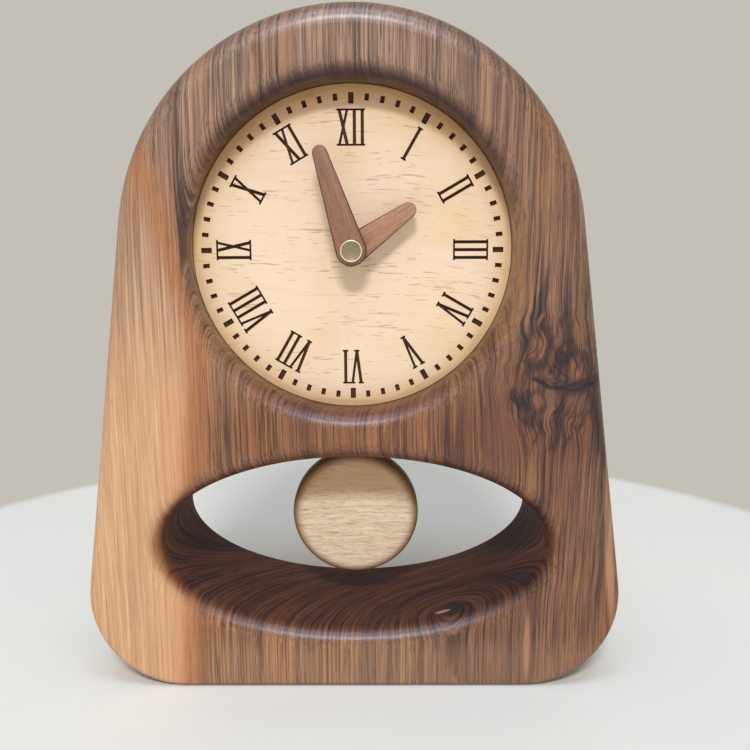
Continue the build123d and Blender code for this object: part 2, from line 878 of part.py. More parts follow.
# Pendulum: hanger with its magnet, rod and bob
rod_top = shaft_height - hanger_drop + rod_grip
bob_top = bob_height + bob_diameter / 2
bob_seat = bob_diameter * bob_seat_share
rod_bottom = bob_top - bob_seat

with BuildPart() as pendulum_hanger:
    disc(pivot_point, hanger_eye_diameter, hanger_front, hanger_back)
    disc(magnet_point, hanger_pad_diameter, hanger_front, hanger_back)
    with BuildSketch(depth_plane(hanger_front)):
        block(hanger_arm_width, -hanger_drop, -pivot_drop - hanger_eye_diameter / 4)
    extrude(amount=-hanger_thickness)
    disc(
        pivot_point, pivot_pin_diameter + 2 * running_clearance,
        hanger_front, hanger_back, Mode.SUBTRACT,
    )
    disc(
        magnet_point, hanger_magnet_diameter + 2 * press_clearance,
        hanger_front, magnet_back, Mode.SUBTRACT,
    )
    with BuildSketch(Plane.XY.offset(shaft_height - hanger_drop)):
        with Locations((0, rod_y)):
            Circle(rod_diameter / 2 + press_clearance)
    extrude(amount=rod_grip, mode=Mode.SUBTRACT)
keep(pendulum_hanger, "pendulum_hanger")

with BuildPart() as hanger_magnet:
    disc(magnet_point, hanger_magnet_diameter, hanger_front, magnet_back)
keep(hanger_magnet, "hanger_magnet")

with BuildPart() as pendulum_rod:
    with BuildSketch(Plane.XY.offset(rod_bottom)):
        with Locations((0, rod_y)):
            Circle(rod_diameter / 2)
    extrude(amount=rod_top - rod_bottom)
keep(pendulum_rod, "pendulum_rod")

with BuildPart() as pendulum_bob:
    with BuildSketch(depth_plane(rod_depth - bob_thickness / 2)):
        with Locations((0, bob_height)):
            Circle(bob_diameter / 2)
    extrude(amount=-bob_thickness)
    fillet(pendulum_bob.edges().filter_by(GeomType.CIRCLE), bob_edge_radius)
    with BuildSketch(Plane.XY.offset(bob_top)):
        with Locations((0, rod_y)):
            Circle(rod_diameter / 2 + press_clearance)
    extrude(amount=-bob_seat, mode=Mode.SUBTRACT)
keep(pendulum_bob, "pendulum_bob")
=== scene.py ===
"""Desk pendulum clock in walnut and maple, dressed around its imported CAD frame.

Lengths inside the classes are millimetres, in the CAD frame: +Z up, the front towards -Y, the origin
at the middle of the case's foot. Everything handed to Blender is in metres. Colours of three parts are
as a screen shows them, 0 to 255, and those of four parts are Blender's linear ones.
"""

from __future__ import annotations

import logging
import math
from dataclasses import dataclass
from enum import Enum
from typing import Iterable, Protocol, Sequence

import bmesh
import bpy
from mathutils import Matrix, Vector


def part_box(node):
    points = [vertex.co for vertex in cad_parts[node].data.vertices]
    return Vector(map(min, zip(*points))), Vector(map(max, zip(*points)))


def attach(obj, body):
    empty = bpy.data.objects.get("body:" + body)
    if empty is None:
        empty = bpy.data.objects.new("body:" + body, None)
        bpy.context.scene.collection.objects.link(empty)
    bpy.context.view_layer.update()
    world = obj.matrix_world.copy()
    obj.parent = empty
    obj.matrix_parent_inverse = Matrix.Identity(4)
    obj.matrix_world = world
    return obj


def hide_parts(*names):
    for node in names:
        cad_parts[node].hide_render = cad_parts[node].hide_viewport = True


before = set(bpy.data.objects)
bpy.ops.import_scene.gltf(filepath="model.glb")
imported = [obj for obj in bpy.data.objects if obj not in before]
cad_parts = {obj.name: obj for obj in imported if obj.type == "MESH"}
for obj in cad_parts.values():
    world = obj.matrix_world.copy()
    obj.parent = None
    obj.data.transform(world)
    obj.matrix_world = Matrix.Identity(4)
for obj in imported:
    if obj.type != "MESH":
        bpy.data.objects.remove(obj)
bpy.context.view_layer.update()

MM = 0.001
SHAFT_Z = sum(corner.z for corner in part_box("centre_bush")) / 2 / MM
BOB_Z = sum(corner.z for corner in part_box("pendulum_bob")) / 2 / MM
DIAL_FRONT = -18.0
DIAL_CUT = 1.1
LOG = logging.getLogger("desk_clock")

Paint = tuple[int, int, int]
Colour = tuple[float, float, float, float]
Span = tuple[float, float]
Stop = tuple[float, Paint]
Material = bpy.types.Material
Mesh = bmesh.types.BMesh


class Signal:
    """One socket of a node tree. Python's operators combine signals through Math nodes."""

    def __init__(self, bench: Bench, socket: bpy.types.NodeSocket) -> None:
        """Keeps the socket and the bench that owns it."""
        self.bench = bench
        self.socket = socket

    def __add__(self, other: Level) -> Signal:
        """Adds."""
        return self.bench.math("ADD", self, other)

    __radd__ = __add__

    def __sub__(self, other: Level) -> Signal:
        """Takes the other away."""
        return self.bench.math("SUBTRACT", self, other)

    def __rsub__(self, other: float) -> Signal:
        """Takes this away from the other."""
        return self.bench.math("SUBTRACT", other, self)

    def __mul__(self, other: Level) -> Signal:
        """Multiplies."""
        return self.bench.math("MULTIPLY", self, other)

    __rmul__ = __mul__

    def __truediv__(self, other: Level) -> Signal:
        """Divides."""
        return self.bench.math("DIVIDE", self, other)

    def __pow__(self, power: float) -> Signal:
        """Raises to a power."""
        return self.bench.math("POWER", self, power)

    def size(self) -> Signal:
        """Value without its sign."""
        return self.bench.math("ABSOLUTE", self)

    def most(self, other: Level) -> Signal:
        """The larger of the two."""
        return self.bench.math("MAXIMUM", self, other)

    def cycle(self) -> Signal:
        """The part after the decimal point."""
        return self.bench.math("FRACT", self)

    def step(self, low: float, high: float) -> Signal:
        """Smooth step from 0 at low to 1 at high, or the other way round where low is the larger."""
        inputs = {"Value": self, "From Min": low, "From Max": high}
        return self.bench.wire("ShaderNodeMapRange", {"interpolation_type": "SMOOTHSTEP"}, inputs)

    def aslant(self, other: Signal) -> Signal:
        """Distance, where this and the other are its two parts at a right angle."""
        return (self * self + other * other) ** 0.5


Level = Signal | float


def linear(colour: Paint | Colour | Signal) -> Colour | Signal:
    """Turns a screen colour into Blender's linear colour.

    Args:
        colour: the screen colour; a linear colour or a signal stays as it is.

    Returns:
        The linear colour with full alpha, or the signal.
    """
    if isinstance(colour, Signal) or len(colour) == 4:
        return colour
    shares = [channel / 255 for channel in colour]
    return (*(s / 12.92 if s <= 0.04045 else ((s + 0.055) / 1.055) ** 2.4 for s in shares), 1.0)


class Grain(Enum):
    """Patterns of the case's walnut, from the broadest to the finest."""

    CLOUD = "slow change of tone"
    BAND = "broad band of growth"
    VEIN = "growth ring"
    STRIPE = "stripe of some rings"
    LINE = "thin line"
    THREAD = "long thread"
    DASH = "short dark vessel"
    PORE = "open pore"


@dataclass(frozen=True)
class Tint:
    """One thin layer of colour that follows a pattern of the grain.

    grain: the pattern. start, full: its values where the layer begins to show and where it is full.
    colour: colour of the layer. share: how much it covers. zone_share: how much more it covers inside
    the zone that the layers are laid with.
    """

    grain: Grain
    start: float
    full: float
    colour: Paint
    share: float = 0.0
    zone_share: float = 0.0


class Bench:
    """The node tree of one finish, with a method for each kind of step in it."""

    def __init__(self, name: str, store: bpy.types.bpy_prop_collection | None = None) -> None:
        """Starts an empty tree.

        Args:
            name: name of its material or world.
            store: where Blender keeps it; the materials where none is given.
        """
        self.owner = (bpy.data.materials if store is None else store).new(name)
        self.owner.use_nodes = True
        self.tree = self.owner.node_tree
        self.tree.nodes.clear()

    def node(self, kind: str, settings: dict | None = None, inputs: dict | None = None) -> bpy.types.Node:
        """Adds any node: its settings first, then the values or links of its sockets.

        Args:
            kind: Blender's name of the node type.
            settings: attributes of the node; "stops" gives a ramp's positions and colours.
            inputs: value or Signal for each socket, by name or number.

        Returns:
            The new node.
        """
        made = self.tree.nodes.new(kind)
        for key, value in (settings or {}).items():
            if key == "stops":
                self._set_stops(made.color_ramp.elements, value)
            else:
                setattr(made, key, value)
        for key, value in (inputs or {}).items():
            if isinstance(value, Signal):
                self.tree.links.new(value.socket, made.inputs[key])
            else:
                made.inputs[key].default_value = value
        return made

    @staticmethod
    def _set_stops(elements: bpy.types.ColorRampElements, stops: Sequence[tuple[float, Colour]]) -> None:
        """Gives a colour ramp its stops.

        Args:
            elements: the ramp's own stops.
            stops: the positions and colours that it gets.
        """
        while len(elements) < len(stops):
            elements.new(0.5)
        for element, (position, colour) in zip(elements, stops):
            element.position = position
            element.color = colour

    def wire(
        self, kind: str, settings: dict | None = None, inputs: dict | None = None, output: str | int = 0
    ) -> Signal:
        """Adds a node as node() does, and gives one of its outputs."""
        return Signal(self, self.node(kind, settings, inputs).outputs[output])

    def math(self, operation: str, *values: Level) -> Signal:
        """Adds a Math node on one or two values."""
        return self.wire("ShaderNodeMath", {"operation": operation}, dict(enumerate(values)))

    def parts(self, vector: Signal) -> list[Signal]:
        """The three parts of a vector."""
        return [Signal(self, out) for out in self.node("ShaderNodeSeparateXYZ", None, {0: vector}).outputs]

    def place(self) -> list[Signal]:
        """Place on the piece in millimetres, as three signals."""
        metres = self.wire("ShaderNodeTexCoord", output="Object")
        inputs = {0: metres, "Scale": 1 / MM}
        return self.parts(self.wire("ShaderNodeVectorMath", {"operation": "SCALE"}, inputs))

    def facing(self) -> list[Signal]:
        """Direction that the surface faces on the piece, as three signals."""
        return self.parts(self.wire("ShaderNodeTexCoord", output="Normal"))

    def noise(
        self,
        place: Sequence[Level],
        cells: Sequence[float],
        detail: float = 2.0,
        roughness: float = 0.5,
        shift: float = 0.0,
        distortion: float = 0.0,
    ) -> Signal:
        """Soft noise between 0 and 1, about 0.5 in the middle.

        Args:
            place: the three coordinates that it follows, in millimetres.
            cells: how many of its cells fit in a millimetre of each.
            detail: octaves beyond the first.
            roughness: weight of the finer octaves.
            shift: cells that it is moved along the first coordinate.
            distortion: how far the pattern is bent by itself.

        Returns:
            The noise.
        """
        spot = self.wire("ShaderNodeCombineXYZ", None, dict(enumerate(place)))
        scaled = {0: spot, 1: tuple(cells), 2: (shift, 0.0, 0.0)}
        inputs = {
            "Vector": self.wire("ShaderNodeVectorMath", {"operation": "MULTIPLY_ADD"}, scaled),
            "Scale": 1.0,
            "Detail": detail,
            "Roughness": roughness,
            "Distortion": distortion,
        }
        return self.wire("ShaderNodeTexNoise", {"noise_dimensions": "3D"}, inputs)

    def mix(self, share: Level, under: Signal | Paint, over: Signal | Paint, blend: str = "MIX") -> Signal:
        """Lays one colour over another.

        Args:
            share: how much of the upper colour shows.
            under: lower colour.
            over: upper colour.
            blend: Blender's name of the blend mode.

        Returns:
            The mixed colour.
        """
        settings = {"data_type": "RGBA", "blend_type": blend, "clamp_factor": True}
        return self.wire("ShaderNodeMix", settings, {0: share, 6: linear(under), 7: linear(over)}, 2)

    def deepen(self, share: Level, under: Signal, over: Paint) -> Signal:
        """Darkens a colour by a glaze of another."""
        return self.mix(share, under, over, "MULTIPLY")

    def tint(
        self, wood: Signal, grains: dict[Grain, Signal], tints: Iterable[Tint], zone: Level = 0.0
    ) -> Signal:
        """Lays layers of colour that follow the grain.

        Args:
            wood: colour under the layers.
            grains: the grain's patterns.
            tints: the layers in order.
            zone: how far each place is inside the zone, from 0 to 1.

        Returns:
            The tinted colour.
        """
        for tint in tints:
            share = zone * tint.zone_share + tint.share if tint.zone_share else tint.share
            wood = self.mix(grains[tint.grain].step(tint.start, tint.full) * share, wood, tint.colour)
        return wood

    def ramp(self, value: Signal, stops: Iterable[tuple[float, Paint | Colour]]) -> Signal:
        """Colour looked up along a row of stops."""
        rows = [(position, linear(colour)) for position, colour in stops]
        return self.wire("ShaderNodeValToRGB", {"stops": rows}, {0: value})

    def bump(self, height: Signal, depth: float, strength: float) -> Signal:
        """Turns a height of 0 to 1 into a normal.

        Args:
            height: height field.
            depth: height of 1, in millimetres.
            strength: share of the effect.

        Returns:
            The bent normal.
        """
        inputs = {"Height": height, "Distance": depth * MM, "Strength": strength}
        return self.wire("ShaderNodeBump", None, inputs)

    def end(self, surface: Signal, output: str = "ShaderNodeOutputMaterial") -> bpy.types.ID:
        """Ends the tree in its output, and gives the material or world."""
        self.node(output, None, {"Surface": surface})
        return self.owner

    def finish(self, **sockets: Level | Colour) -> Material:
        """Ends the tree in a Principled shader.

        Args:
            **sockets: values by the socket's name, with underscores for its spaces.

        Returns:
            The finished material.
        """
        inputs = {key.replace("_", " "): value for key, value in sockets.items()}
        return self.end(self.wire("ShaderNodeBsdfPrincipled", None, inputs))


class Finish(Protocol):
    """Anything that a part can be finished with."""

    def build(self) -> Material:
        """Makes the finish's material."""


@dataclass(frozen=True)
class Blot:
    """One soft patch or streak on the case's front, such as those round its knot.

    x, z: its middle. half_width, half_height: its reach. lean: sideways shift per millimetre of
    height. strength: how much it covers.
    """

    x: float
    z: float
    half_width: float
    half_height: float
    lean: float
    strength: float

    def reach(self, x: Signal, z: Signal) -> Signal:
        """Distance from its middle as a share of its own size."""
        up = z - self.z
        return ((x - self.x - up * self.lean) / self.half_width).aslant(up / self.half_height)

    @staticmethod
    def cover(x: Signal, z: Signal, blots: Iterable[Blot], outer: float, inner: float) -> Signal:
        """Lays soft patches together.

        Args:
            x: place across.
            z: height.
            blots: the patches.
            outer: share of a patch's size where it starts to show.
            inner: share of its size where it is at its full strength.

        Returns:
            How much each place is covered.
        """
        total, *others = [blot.reach(x, z).step(outer, inner) * blot.strength for blot in blots]
        for part in others:
            total = total.most(part)
        return total


@dataclass
class Timber:
    """What the layers of the case's walnut share while it is finished.

    place: place on the block. fibre_x: place across, bent as the fibres are. sway, curl, wobble: slow
    bend of all fibres, bend round the knot, and quick bend of its edges. front: 1 in the front half
    of the block. veins: thin dark growth rings. grains: patterns that the tints follow.
    """

    bench: Bench
    place: list[Signal]
    fibre_x: Signal
    sway: Signal
    curl: Signal
    wobble: Signal
    front: Signal
    veins: Signal
    grains: dict[Grain, Signal]


@dataclass(frozen=True)
class WalnutBlockFinish:
    """Oiled walnut of the case: upright fibres, growth rings round one pith, sapwood and a spike knot.

    pith, knot, spike, window: their places on the case. hair_lines: for each its place across, half
    width, and the heights over which it starts. sap_edge: heights, and how far across the sapwood
    reaches there. stops, tints: colours of heartwood and sapwood, and of the layers over them.
    """

    pith_x: float = 39.0
    pith_y: float = -22.0
    front_y: float = -32.0
    knot_x: float = 74.0
    knot_z: float = 124.0
    knot_radius: float = 8.0
    knot_curl: float = 12.0
    ring_wander: float = 9.0
    spike_x: float = 80.0
    spike_z: float = 120.2
    spike_curve: float = 0.024
    window_z: float = 57.8
    window_half_width: float = 75.4
    window_half_height: float = 34.8
    hair_lines: tuple[tuple[float, float, Span], ...] = (
        (-31.4, 0.55, (204.0, 218.0)), (1.5, 0.5, (221.0, 232.0)),
    )
    sap_slant: float = 1.7
    case_height: float = 256.8
    sap_reach: float = 100.0
    sap_edge: tuple[Span, ...] = (
        (0.0, -67.0), (36.0, -63.6), (77.0, -63.3), (116.0, -60.7),
        (142.0, -60.3), (171.0, -67.4), (189.0, -71.0), (211.0, -80.0),
    )
    heart_stops: tuple[Stop, ...] = (
        (0.28, (118, 84, 60)), (0.40, (140, 104, 78)), (0.48, (168, 132, 104)),
        (0.54, (156, 119, 90)), (0.61, (176, 128, 90)), (0.70, (160, 129, 102)),
    )
    heart_tints: tuple[Tint, ...] = (
        Tint(Grain.CLOUD, 0.48, 0.66, (130, 112, 98), 0.40),
        Tint(Grain.STRIPE, 0.49, 0.68, (90, 62, 45), 0.56, -0.22),
        Tint(Grain.STRIPE, 0.48, 0.32, (182, 143, 110), 0.40, -0.11),
        Tint(Grain.LINE, 0.53, 0.65, (76, 50, 36), 0.50),
        Tint(Grain.LINE, 0.46, 0.33, (192, 148, 110), 0.40),
        Tint(Grain.THREAD, 0.50, 0.64, (60, 38, 27), 0.76, -0.088),
        Tint(Grain.THREAD, 0.46, 0.34, (206, 164, 126), 0.52),
        Tint(Grain.DASH, 0.54, 0.65, (54, 34, 24), 0.60),
        Tint(Grain.DASH, 0.45, 0.34, (200, 158, 122), 0.22),
    )
    sap_stops: tuple[Stop, ...] = (
        (0.32, (222, 180, 132)), (0.48, (213, 165, 118)), (0.56, (207, 154, 109)), (0.68, (216, 174, 127)),
    )
    sap_tints: tuple[Tint, ...] = (
        Tint(Grain.STRIPE, 0.49, 0.68, (190, 136, 98), 0.36),
        Tint(Grain.LINE, 0.53, 0.66, (186, 134, 94), 0.24),
        Tint(Grain.THREAD, 0.50, 0.65, (176, 124, 86), 0.40),
        Tint(Grain.THREAD, 0.47, 0.33, (242, 205, 162), 0.46),
        Tint(Grain.DASH, 0.54, 0.66, (164, 112, 76), 0.34),
        Tint(Grain.DASH, 0.45, 0.34, (240, 205, 164), 0.24),
    )
    high_sap_tints: tuple[Tint, ...] = (
        Tint(Grain.LINE, 0.48, 0.62, (138, 98, 70), zone_share=0.52),
        Tint(Grain.THREAD, 0.49, 0.61, (136, 98, 72), zone_share=0.46),
        Tint(Grain.LINE, 0.46, 0.34, (238, 210, 182), zone_share=0.50),
    )
    knot_tints: tuple[Tint, ...] = (
        Tint(Grain.THREAD, 0.50, 0.61, (50, 32, 22), zone_share=0.44),
        Tint(Grain.THREAD, 0.47, 0.36, (176, 126, 88), zone_share=0.34),
        Tint(Grain.DASH, 0.54, 0.64, (44, 28, 20), zone_share=0.40),
    )
    window_tints: tuple[Tint, ...] = (
        Tint(Grain.THREAD, 0.50, 0.63, (44, 28, 20), zone_share=0.34),
        Tint(Grain.LINE, 0.48, 0.36, (176, 130, 98), zone_share=0.26),
    )
    dark_blots: tuple[Blot, ...] = (
        Blot(67.6, 151.0, 1.7, 14.0, 0.23, 0.85),
        Blot(78.2, 145.0, 2.0, 19.0, -0.02, 0.85),
        Blot(63.2, 138.0, 1.9, 5.5, 0.30, 0.80),
        Blot(75.6, 129.5, 1.7, 6.5, 0.0, 0.80),
        Blot(62.6, 115.5, 4.2, 4.4, -0.45, 0.95),
        Blot(67.0, 108.5, 3.0, 4.0, -0.5, 0.80),
        Blot(76.6, 109.0, 2.4, 10.0, -0.05, 0.95),
        Blot(91.2, 130.0, 1.6, 9.0, -0.15, 0.85),
        Blot(92.6, 106.0, 2.6, 17.0, -0.12, 0.92),
        Blot(95.2, 76.0, 1.2, 24.0, -0.10, 0.55),
        Blot(86.0, 152.0, 1.0, 16.0, 0.05, 0.50),
    )
    warm_blots: tuple[Blot, ...] = (
        Blot(68.6, 135.6, 3.7, 6.2, 0.10, 0.85),
        Blot(82.9, 127.5, 4.2, 5.0, 0.0, 0.80),
        Blot(68.6, 115.4, 3.0, 3.2, 0.0, 0.75),
        Blot(83.2, 115.2, 3.8, 4.6, 0.1, 0.45),
    )
    red_zones: tuple[Blot, ...] = (
        Blot(56.0, 103.0, 9.0, 22.0, 0.10, 0.75),
        Blot(56.5, 126.0, 5.0, 5.0, 0.0, 0.50),
    )
    orange_streaks: tuple[Blot, ...] = (
        Blot(97.6, 56.0, 2.1, 33.0, -0.085, 0.85),
        Blot(67.8, 17.0, 1.5, 17.0, 0.0, 0.75),
        Blot(-53.0, 234.0, 3.2, 9.0, 0.0, 0.55),
        Blot(-22.0, 240.0, 3.0, 15.0, 0.0, 0.55),
        Blot(47.0, 222.0, 3.0, 22.0, 0.0, 0.30),
        Blot(-80.0, 224.0, 6.0, 26.0, 0.12, 0.70),
        Blot(78.0, 226.0, 7.0, 26.0, -0.10, 0.50),
    )

    def _timber(self, bench: Bench) -> Timber:
        """Bends the fibres past the knot and lays the patterns along them.

        Args:
            bench: the finish's node tree.

        Returns:
            What the layers share.
        """
        x, y, z = place = bench.place()
        front = (y - self.front_y).step(40.0, 12.0)
        across, up = x - self.knot_x, z - self.knot_z
        square = across * across + up * up
        near = square.step(1100.0, 60.0) * front
        parting = across * self.knot_radius**2 / (square + self.knot_radius**2)
        curl = bench.noise(place, (0.09, 0.05, 0.06), 2.0, 0.55) - 0.5
        sway = bench.noise((z, 3.7, 0.0), (0.010, 1.0, 1.0), 1.0) - 0.5
        ripple = bench.noise(place, (0.035, 0.035, 0.014)) - 0.5
        fibre_x = x - parting * front + curl * near * self.knot_curl + sway * 1.6 + ripple * 1.6

        inward = (y - self.pith_y) * (z.step(54.0, 36.0) * 0.75 + 0.25)
        radius = (fibre_x - self.pith_x).aslant(inward)
        uneven = bench.noise((radius, 9.1, 0.0), (0.06, 1.0, 1.0)) - 0.5
        ring = radius + uneven * self.ring_wander + ripple * 1.5 + y * 0.3
        rings, fibres = (ring, (x + y) * 0.012, z), (fibre_x, y, z)
        grains = {
            Grain.CLOUD: bench.noise(place, (0.02, 0.02, 0.012)),
            Grain.BAND: bench.noise(rings, (0.105, 1.0, 0.0028), 3.0, 0.62),
            Grain.VEIN: bench.noise(rings, (0.30, 1.0, 0.0035), 1.0, shift=40.0),
            Grain.STRIPE: bench.noise(rings, (0.66, 2.0, 0.011), 4.0, 0.72),
            Grain.LINE: bench.noise(rings, (0.92, 1.0, 0.008), 2.0, 0.6, shift=17.0),
            Grain.THREAD: bench.noise((ring, fibre_x, z), (1.45, 0.06, 0.017), 3.0, 0.70),
            Grain.DASH: bench.noise(fibres, (1.9, 1.9, 0.042), 3.0, 0.6),
            Grain.PORE: bench.noise(fibres, (2.9, 2.9, 0.09)),
        }
        weight = bench.noise(rings, (0.14, 1.0, 0.006), 1.0, shift=9.0).step(0.40, 0.62)
        veins = (grains[Grain.VEIN] - 0.5).size().step(0.020, 0.003) * (0.25 + weight * 0.75)
        veins = veins * (1 - near * 0.8)
        wobble = bench.noise(place, (0.16, 0.1, 0.16), 3.0, 0.55) - 0.5
        return Timber(bench, place, fibre_x, sway, curl, wobble, front, veins, grains)

    def _heart(self, timber: Timber) -> Signal:
        """Colours the brown heartwood, which is darker low down and on the right.

        Args:
            timber: what the layers share.

        Returns:
            The heartwood's colour.
        """
        bench, (x, _, z) = timber.bench, timber.place
        heart = bench.ramp(timber.grains[Grain.BAND], self.heart_stops)
        heart = bench.tint(heart, timber.grains, self.heart_tints, z.step(120.0, 200.0))
        heart = bench.mix(timber.veins * 0.72, heart, (56, 36, 27))
        heart = bench.deepen(z.step(190.0, 80.0), heart, (250, 228, 196))
        heart = bench.deepen(x.step(12.0, 66.0), heart, (222, 212, 202))
        belt = z.step(84.0, 100.0) * z.step(128.0, 106.0) * x.step(-62.0, -40.0)
        heart = bench.deepen(belt, heart, (234, 216, 192))
        return bench.mix(z.step(24.0, 12.0) * 0.14, heart, (205, 165, 128))

    def _sapwood(self, timber: Timber, heart: Signal) -> tuple[Signal, Signal]:
        """Lays the pale sapwood of the left side over the heartwood.

        Args:
            timber: what the layers share.
            heart: colour of the heartwood.

        Returns:
            The wood's colour, and how much of it is sapwood.
        """
        bench, (_, y, z), grains = timber.bench, timber.place, timber.grains
        stripe = grains[Grain.STRIPE]
        stops = [
            (height / self.case_height, (-where / self.sap_reach,) * 3 + (1.0,))
            for height, where in self.sap_edge
        ]
        edge = bench.wire("ShaderNodeSeparateColor", None, {0: bench.ramp(z / self.case_height, stops)})
        inside = edge * -self.sap_reach - (timber.fibre_x + (y - self.front_y) * self.sap_slant)
        inside = inside + (stripe - 0.5) * 9.0
        upper, rising = z.step(150.0, 205.0), z.step(104.0, 180.0)
        share = inside.step(-3.0, 5.0) * (1 - upper * grains[Grain.VEIN].step(0.44, 0.56) * 0.55)
        share = share * (1 - upper * stripe.step(0.49, 0.62) * 0.40)
        heart = bench.mix(inside.step(-13.0, -1.0) * 0.66, heart, (186, 118, 66))

        sap = bench.ramp(grains[Grain.BAND], self.sap_stops)
        sap = bench.tint(sap, grains, self.sap_tints)
        sap = bench.mix(timber.veins * 0.22, sap, (170, 116, 82))
        sap = bench.mix(inside.step(15.0, 2.0) * (0.45 - rising * 0.25), sap, (210, 146, 104))
        sap = bench.tint(sap, grains, self.high_sap_tints, rising)
        sap = bench.deepen(z.step(104.0, 200.0), sap, (216, 222, 240))
        return bench.mix(share, heart, sap), share

    def _knot(self, timber: Timber, body: Signal) -> tuple[Signal, Signal]:
        """Lays the knot's shade, red and warm lobes, cracks and torn dark patches.

        Args:
            timber: what the layers share.
            body: colour of the wood so far.

        Returns:
            The wood's colour, and the knot's shade.
        """
        bench, (x, y, z), front = timber.bench, timber.place, timber.front
        thread, wobble = timber.grains[Grain.THREAD], timber.wobble
        shred_x = bench.noise(timber.place, (0.5, 0.4, 0.07), 3.0, 0.6) - 0.5
        shred_z = bench.noise(timber.place, (0.75, 0.4, 0.05), 3.0, 0.65) - 0.5
        torn = (x + shred_x * 5.0 + timber.curl * 5.0, z + shred_z * 17.0)
        lobed = (x + wobble * 3.2, z + wobble * 3.2)
        red = Blot.cover(*torn, self.red_zones, 1.4, 0.1) * front
        body = bench.mix(red * 0.7, body, (122, 76, 52))
        across, up = x - self.knot_x, z - self.knot_z
        shade = (across * across / 380.0 + (up + 2.0) ** 2.0 / 1000.0).step(1.2, 0.2) * front
        body = bench.mix(shade * 0.56, body, (94, 56, 35))
        body = bench.tint(body, timber.grains, self.knot_tints, shade)
        warm = Blot.cover(*lobed, self.warm_blots, 1.25, 0.45) * front
        warm = warm * (0.92 - thread.step(0.47, 0.60) * 0.72)
        body = bench.mix(warm, body, (156, 100, 64))
        round_warm = Blot.cover(*lobed, self.warm_blots, 1.7, 1.2) * (1 - warm) * front
        body = bench.mix(round_warm * 0.66, body, (46, 31, 25))
        gnarl = bench.noise((lobed[0], y, lobed[1]), (0.17, 0.1, 0.045))
        cracks = (gnarl - 0.5).size().step(0.050, 0.0) * shade.step(0.1, 0.7)
        body = bench.mix(cracks * 0.60, body, (44, 28, 19))
        body = bench.mix(gnarl.step(0.56, 0.70) * shade.step(0.2, 0.8) * 0.30, body, (156, 112, 82))
        dark = Blot.cover(*torn, self.dark_blots, 1.35, 0.45) * front
        dark = dark * (0.62 + thread.step(0.36, 0.62) * 0.38)
        return bench.mix(dark * (1 - warm * 0.6), body, (38, 24, 17)), shade

    def _spike(self, timber: Timber, body: Signal) -> Signal:
        """Lays the dark level spike that runs out of the knot, with a split over it.

        Args:
            timber: what the layers share.
            body: colour of the wood so far.

        Returns:
            The wood's colour.
        """
        bench, (x, _, z), wobble = timber.bench, timber.place, timber.wobble
        line = (x - self.spike_x) ** 2.0 * self.spike_curve + self.spike_z
        off = (z - line + wobble * 5.0).size()
        span = x.step(61.0, 71.0) * timber.front
        bulk = x.step(68.0, 84.0) * 2.2 + 1.6
        body = bench.mix((off / bulk).step(1.3, 0.2) * span * 0.75, body, (54, 34, 23))
        split = (z - line - 2.4 + wobble * 7.0).size().step(0.7, 0.1) * x.step(69.0, 74.0) * timber.front
        body = bench.mix(split * 0.7, body, (38, 25, 18))
        return bench.mix((off + wobble * 1.6).step(1.0, 0.2) * span * 0.85, body, (34, 22, 17))

    def _streaks(self, timber: Timber, body: Signal) -> Signal:
        """Lays the orange streaks, and the thin dark hair lines of the arch.

        Args:
            timber: what the layers share.
            body: colour of the wood so far.

        Returns:
            The wood's colour.
        """
        bench, (x, _, z) = timber.bench, timber.place
        orange = Blot.cover(timber.fibre_x, z, self.orange_streaks, 1.2, 0.4) * timber.front
        orange = orange * (1 - timber.grains[Grain.STRIPE].step(0.52, 0.70) * 0.5)
        body = bench.mix(orange, body, (186, 134, 96))
        hairs = [
            (x + timber.sway * 2.0 - middle).size().step(width, 0.15) * z.step(*rise)
            for middle, width, rise in self.hair_lines
        ]
        return bench.mix(hairs[0].most(hairs[1]) * 0.75, body, (48, 34, 28))

    def _end_grain_and_painted_shade(self, timber: Timber, body: Signal) -> tuple[Signal, Signal]:
        """Darkens end grain, partly as painted shade, and paints shade on the arch's underside and on the
        window's walls.

        Args:
            timber: what the layers share.
            body: colour of the wood so far.

        Returns:
            The wood's colour, and how far each place is inside the window.
        """
        bench, (x, _, z) = timber.bench, timber.place
        up = bench.facing()[2]
        # End grain is darker wood; this darkening is also painted shade on the recess lips, the window's
        # floor and the arch's top.
        body = bench.deepen(up.size().step(0.15, 0.85) * 0.72, body, (186, 166, 152))
        # Painted shade: downward-facing faces high on the case, under the lip over the dial, are darkened.
        body = bench.deepen(up.step(-0.15, -0.75) * z.step(120.0, 180.0), body, (160, 124, 92))
        across, rise = x / self.window_half_width, (z - self.window_z) / self.window_half_height
        hollow = (across * across + rise * rise).step(1.13, 0.99)
        body = bench.tint(body, timber.grains, self.window_tints, hollow)
        # Painted shade: the window's walls and floor are darkened as if in shadow.
        return bench.deepen(hollow, body, (186, 158, 132)), hollow

    def _pith(self, timber: Timber, body: Signal) -> Signal:
        """Lays the dark eye of the pith on the window's floor, and a pale painted highlight across it.

        Args:
            timber: what the layers share.
            body: colour of the wood so far.

        Returns:
            The wood's colour.
        """
        bench, (x, y, z), wobble = timber.bench, timber.place, timber.wobble
        across, inward = x - self.pith_x, y - self.pith_y
        low = z.step(60.0, 48.0)
        eye = (across**2.0 + inward**2.0 * 1.3 + wobble * 34.0).step(48.0, 5.0) * low
        body = bench.mix(eye * 0.78, body, (26, 17, 14))
        # Painted highlight: a pale glint beside the pith's eye.
        along, beside = across + 3.4 + wobble * 3.0, inward + wobble * 1.5
        streak = (along * along * 0.12 + beside * beside * 0.8).step(1.3, 0.4) * low
        return bench.mix(streak * 0.70, body, (196, 146, 122))

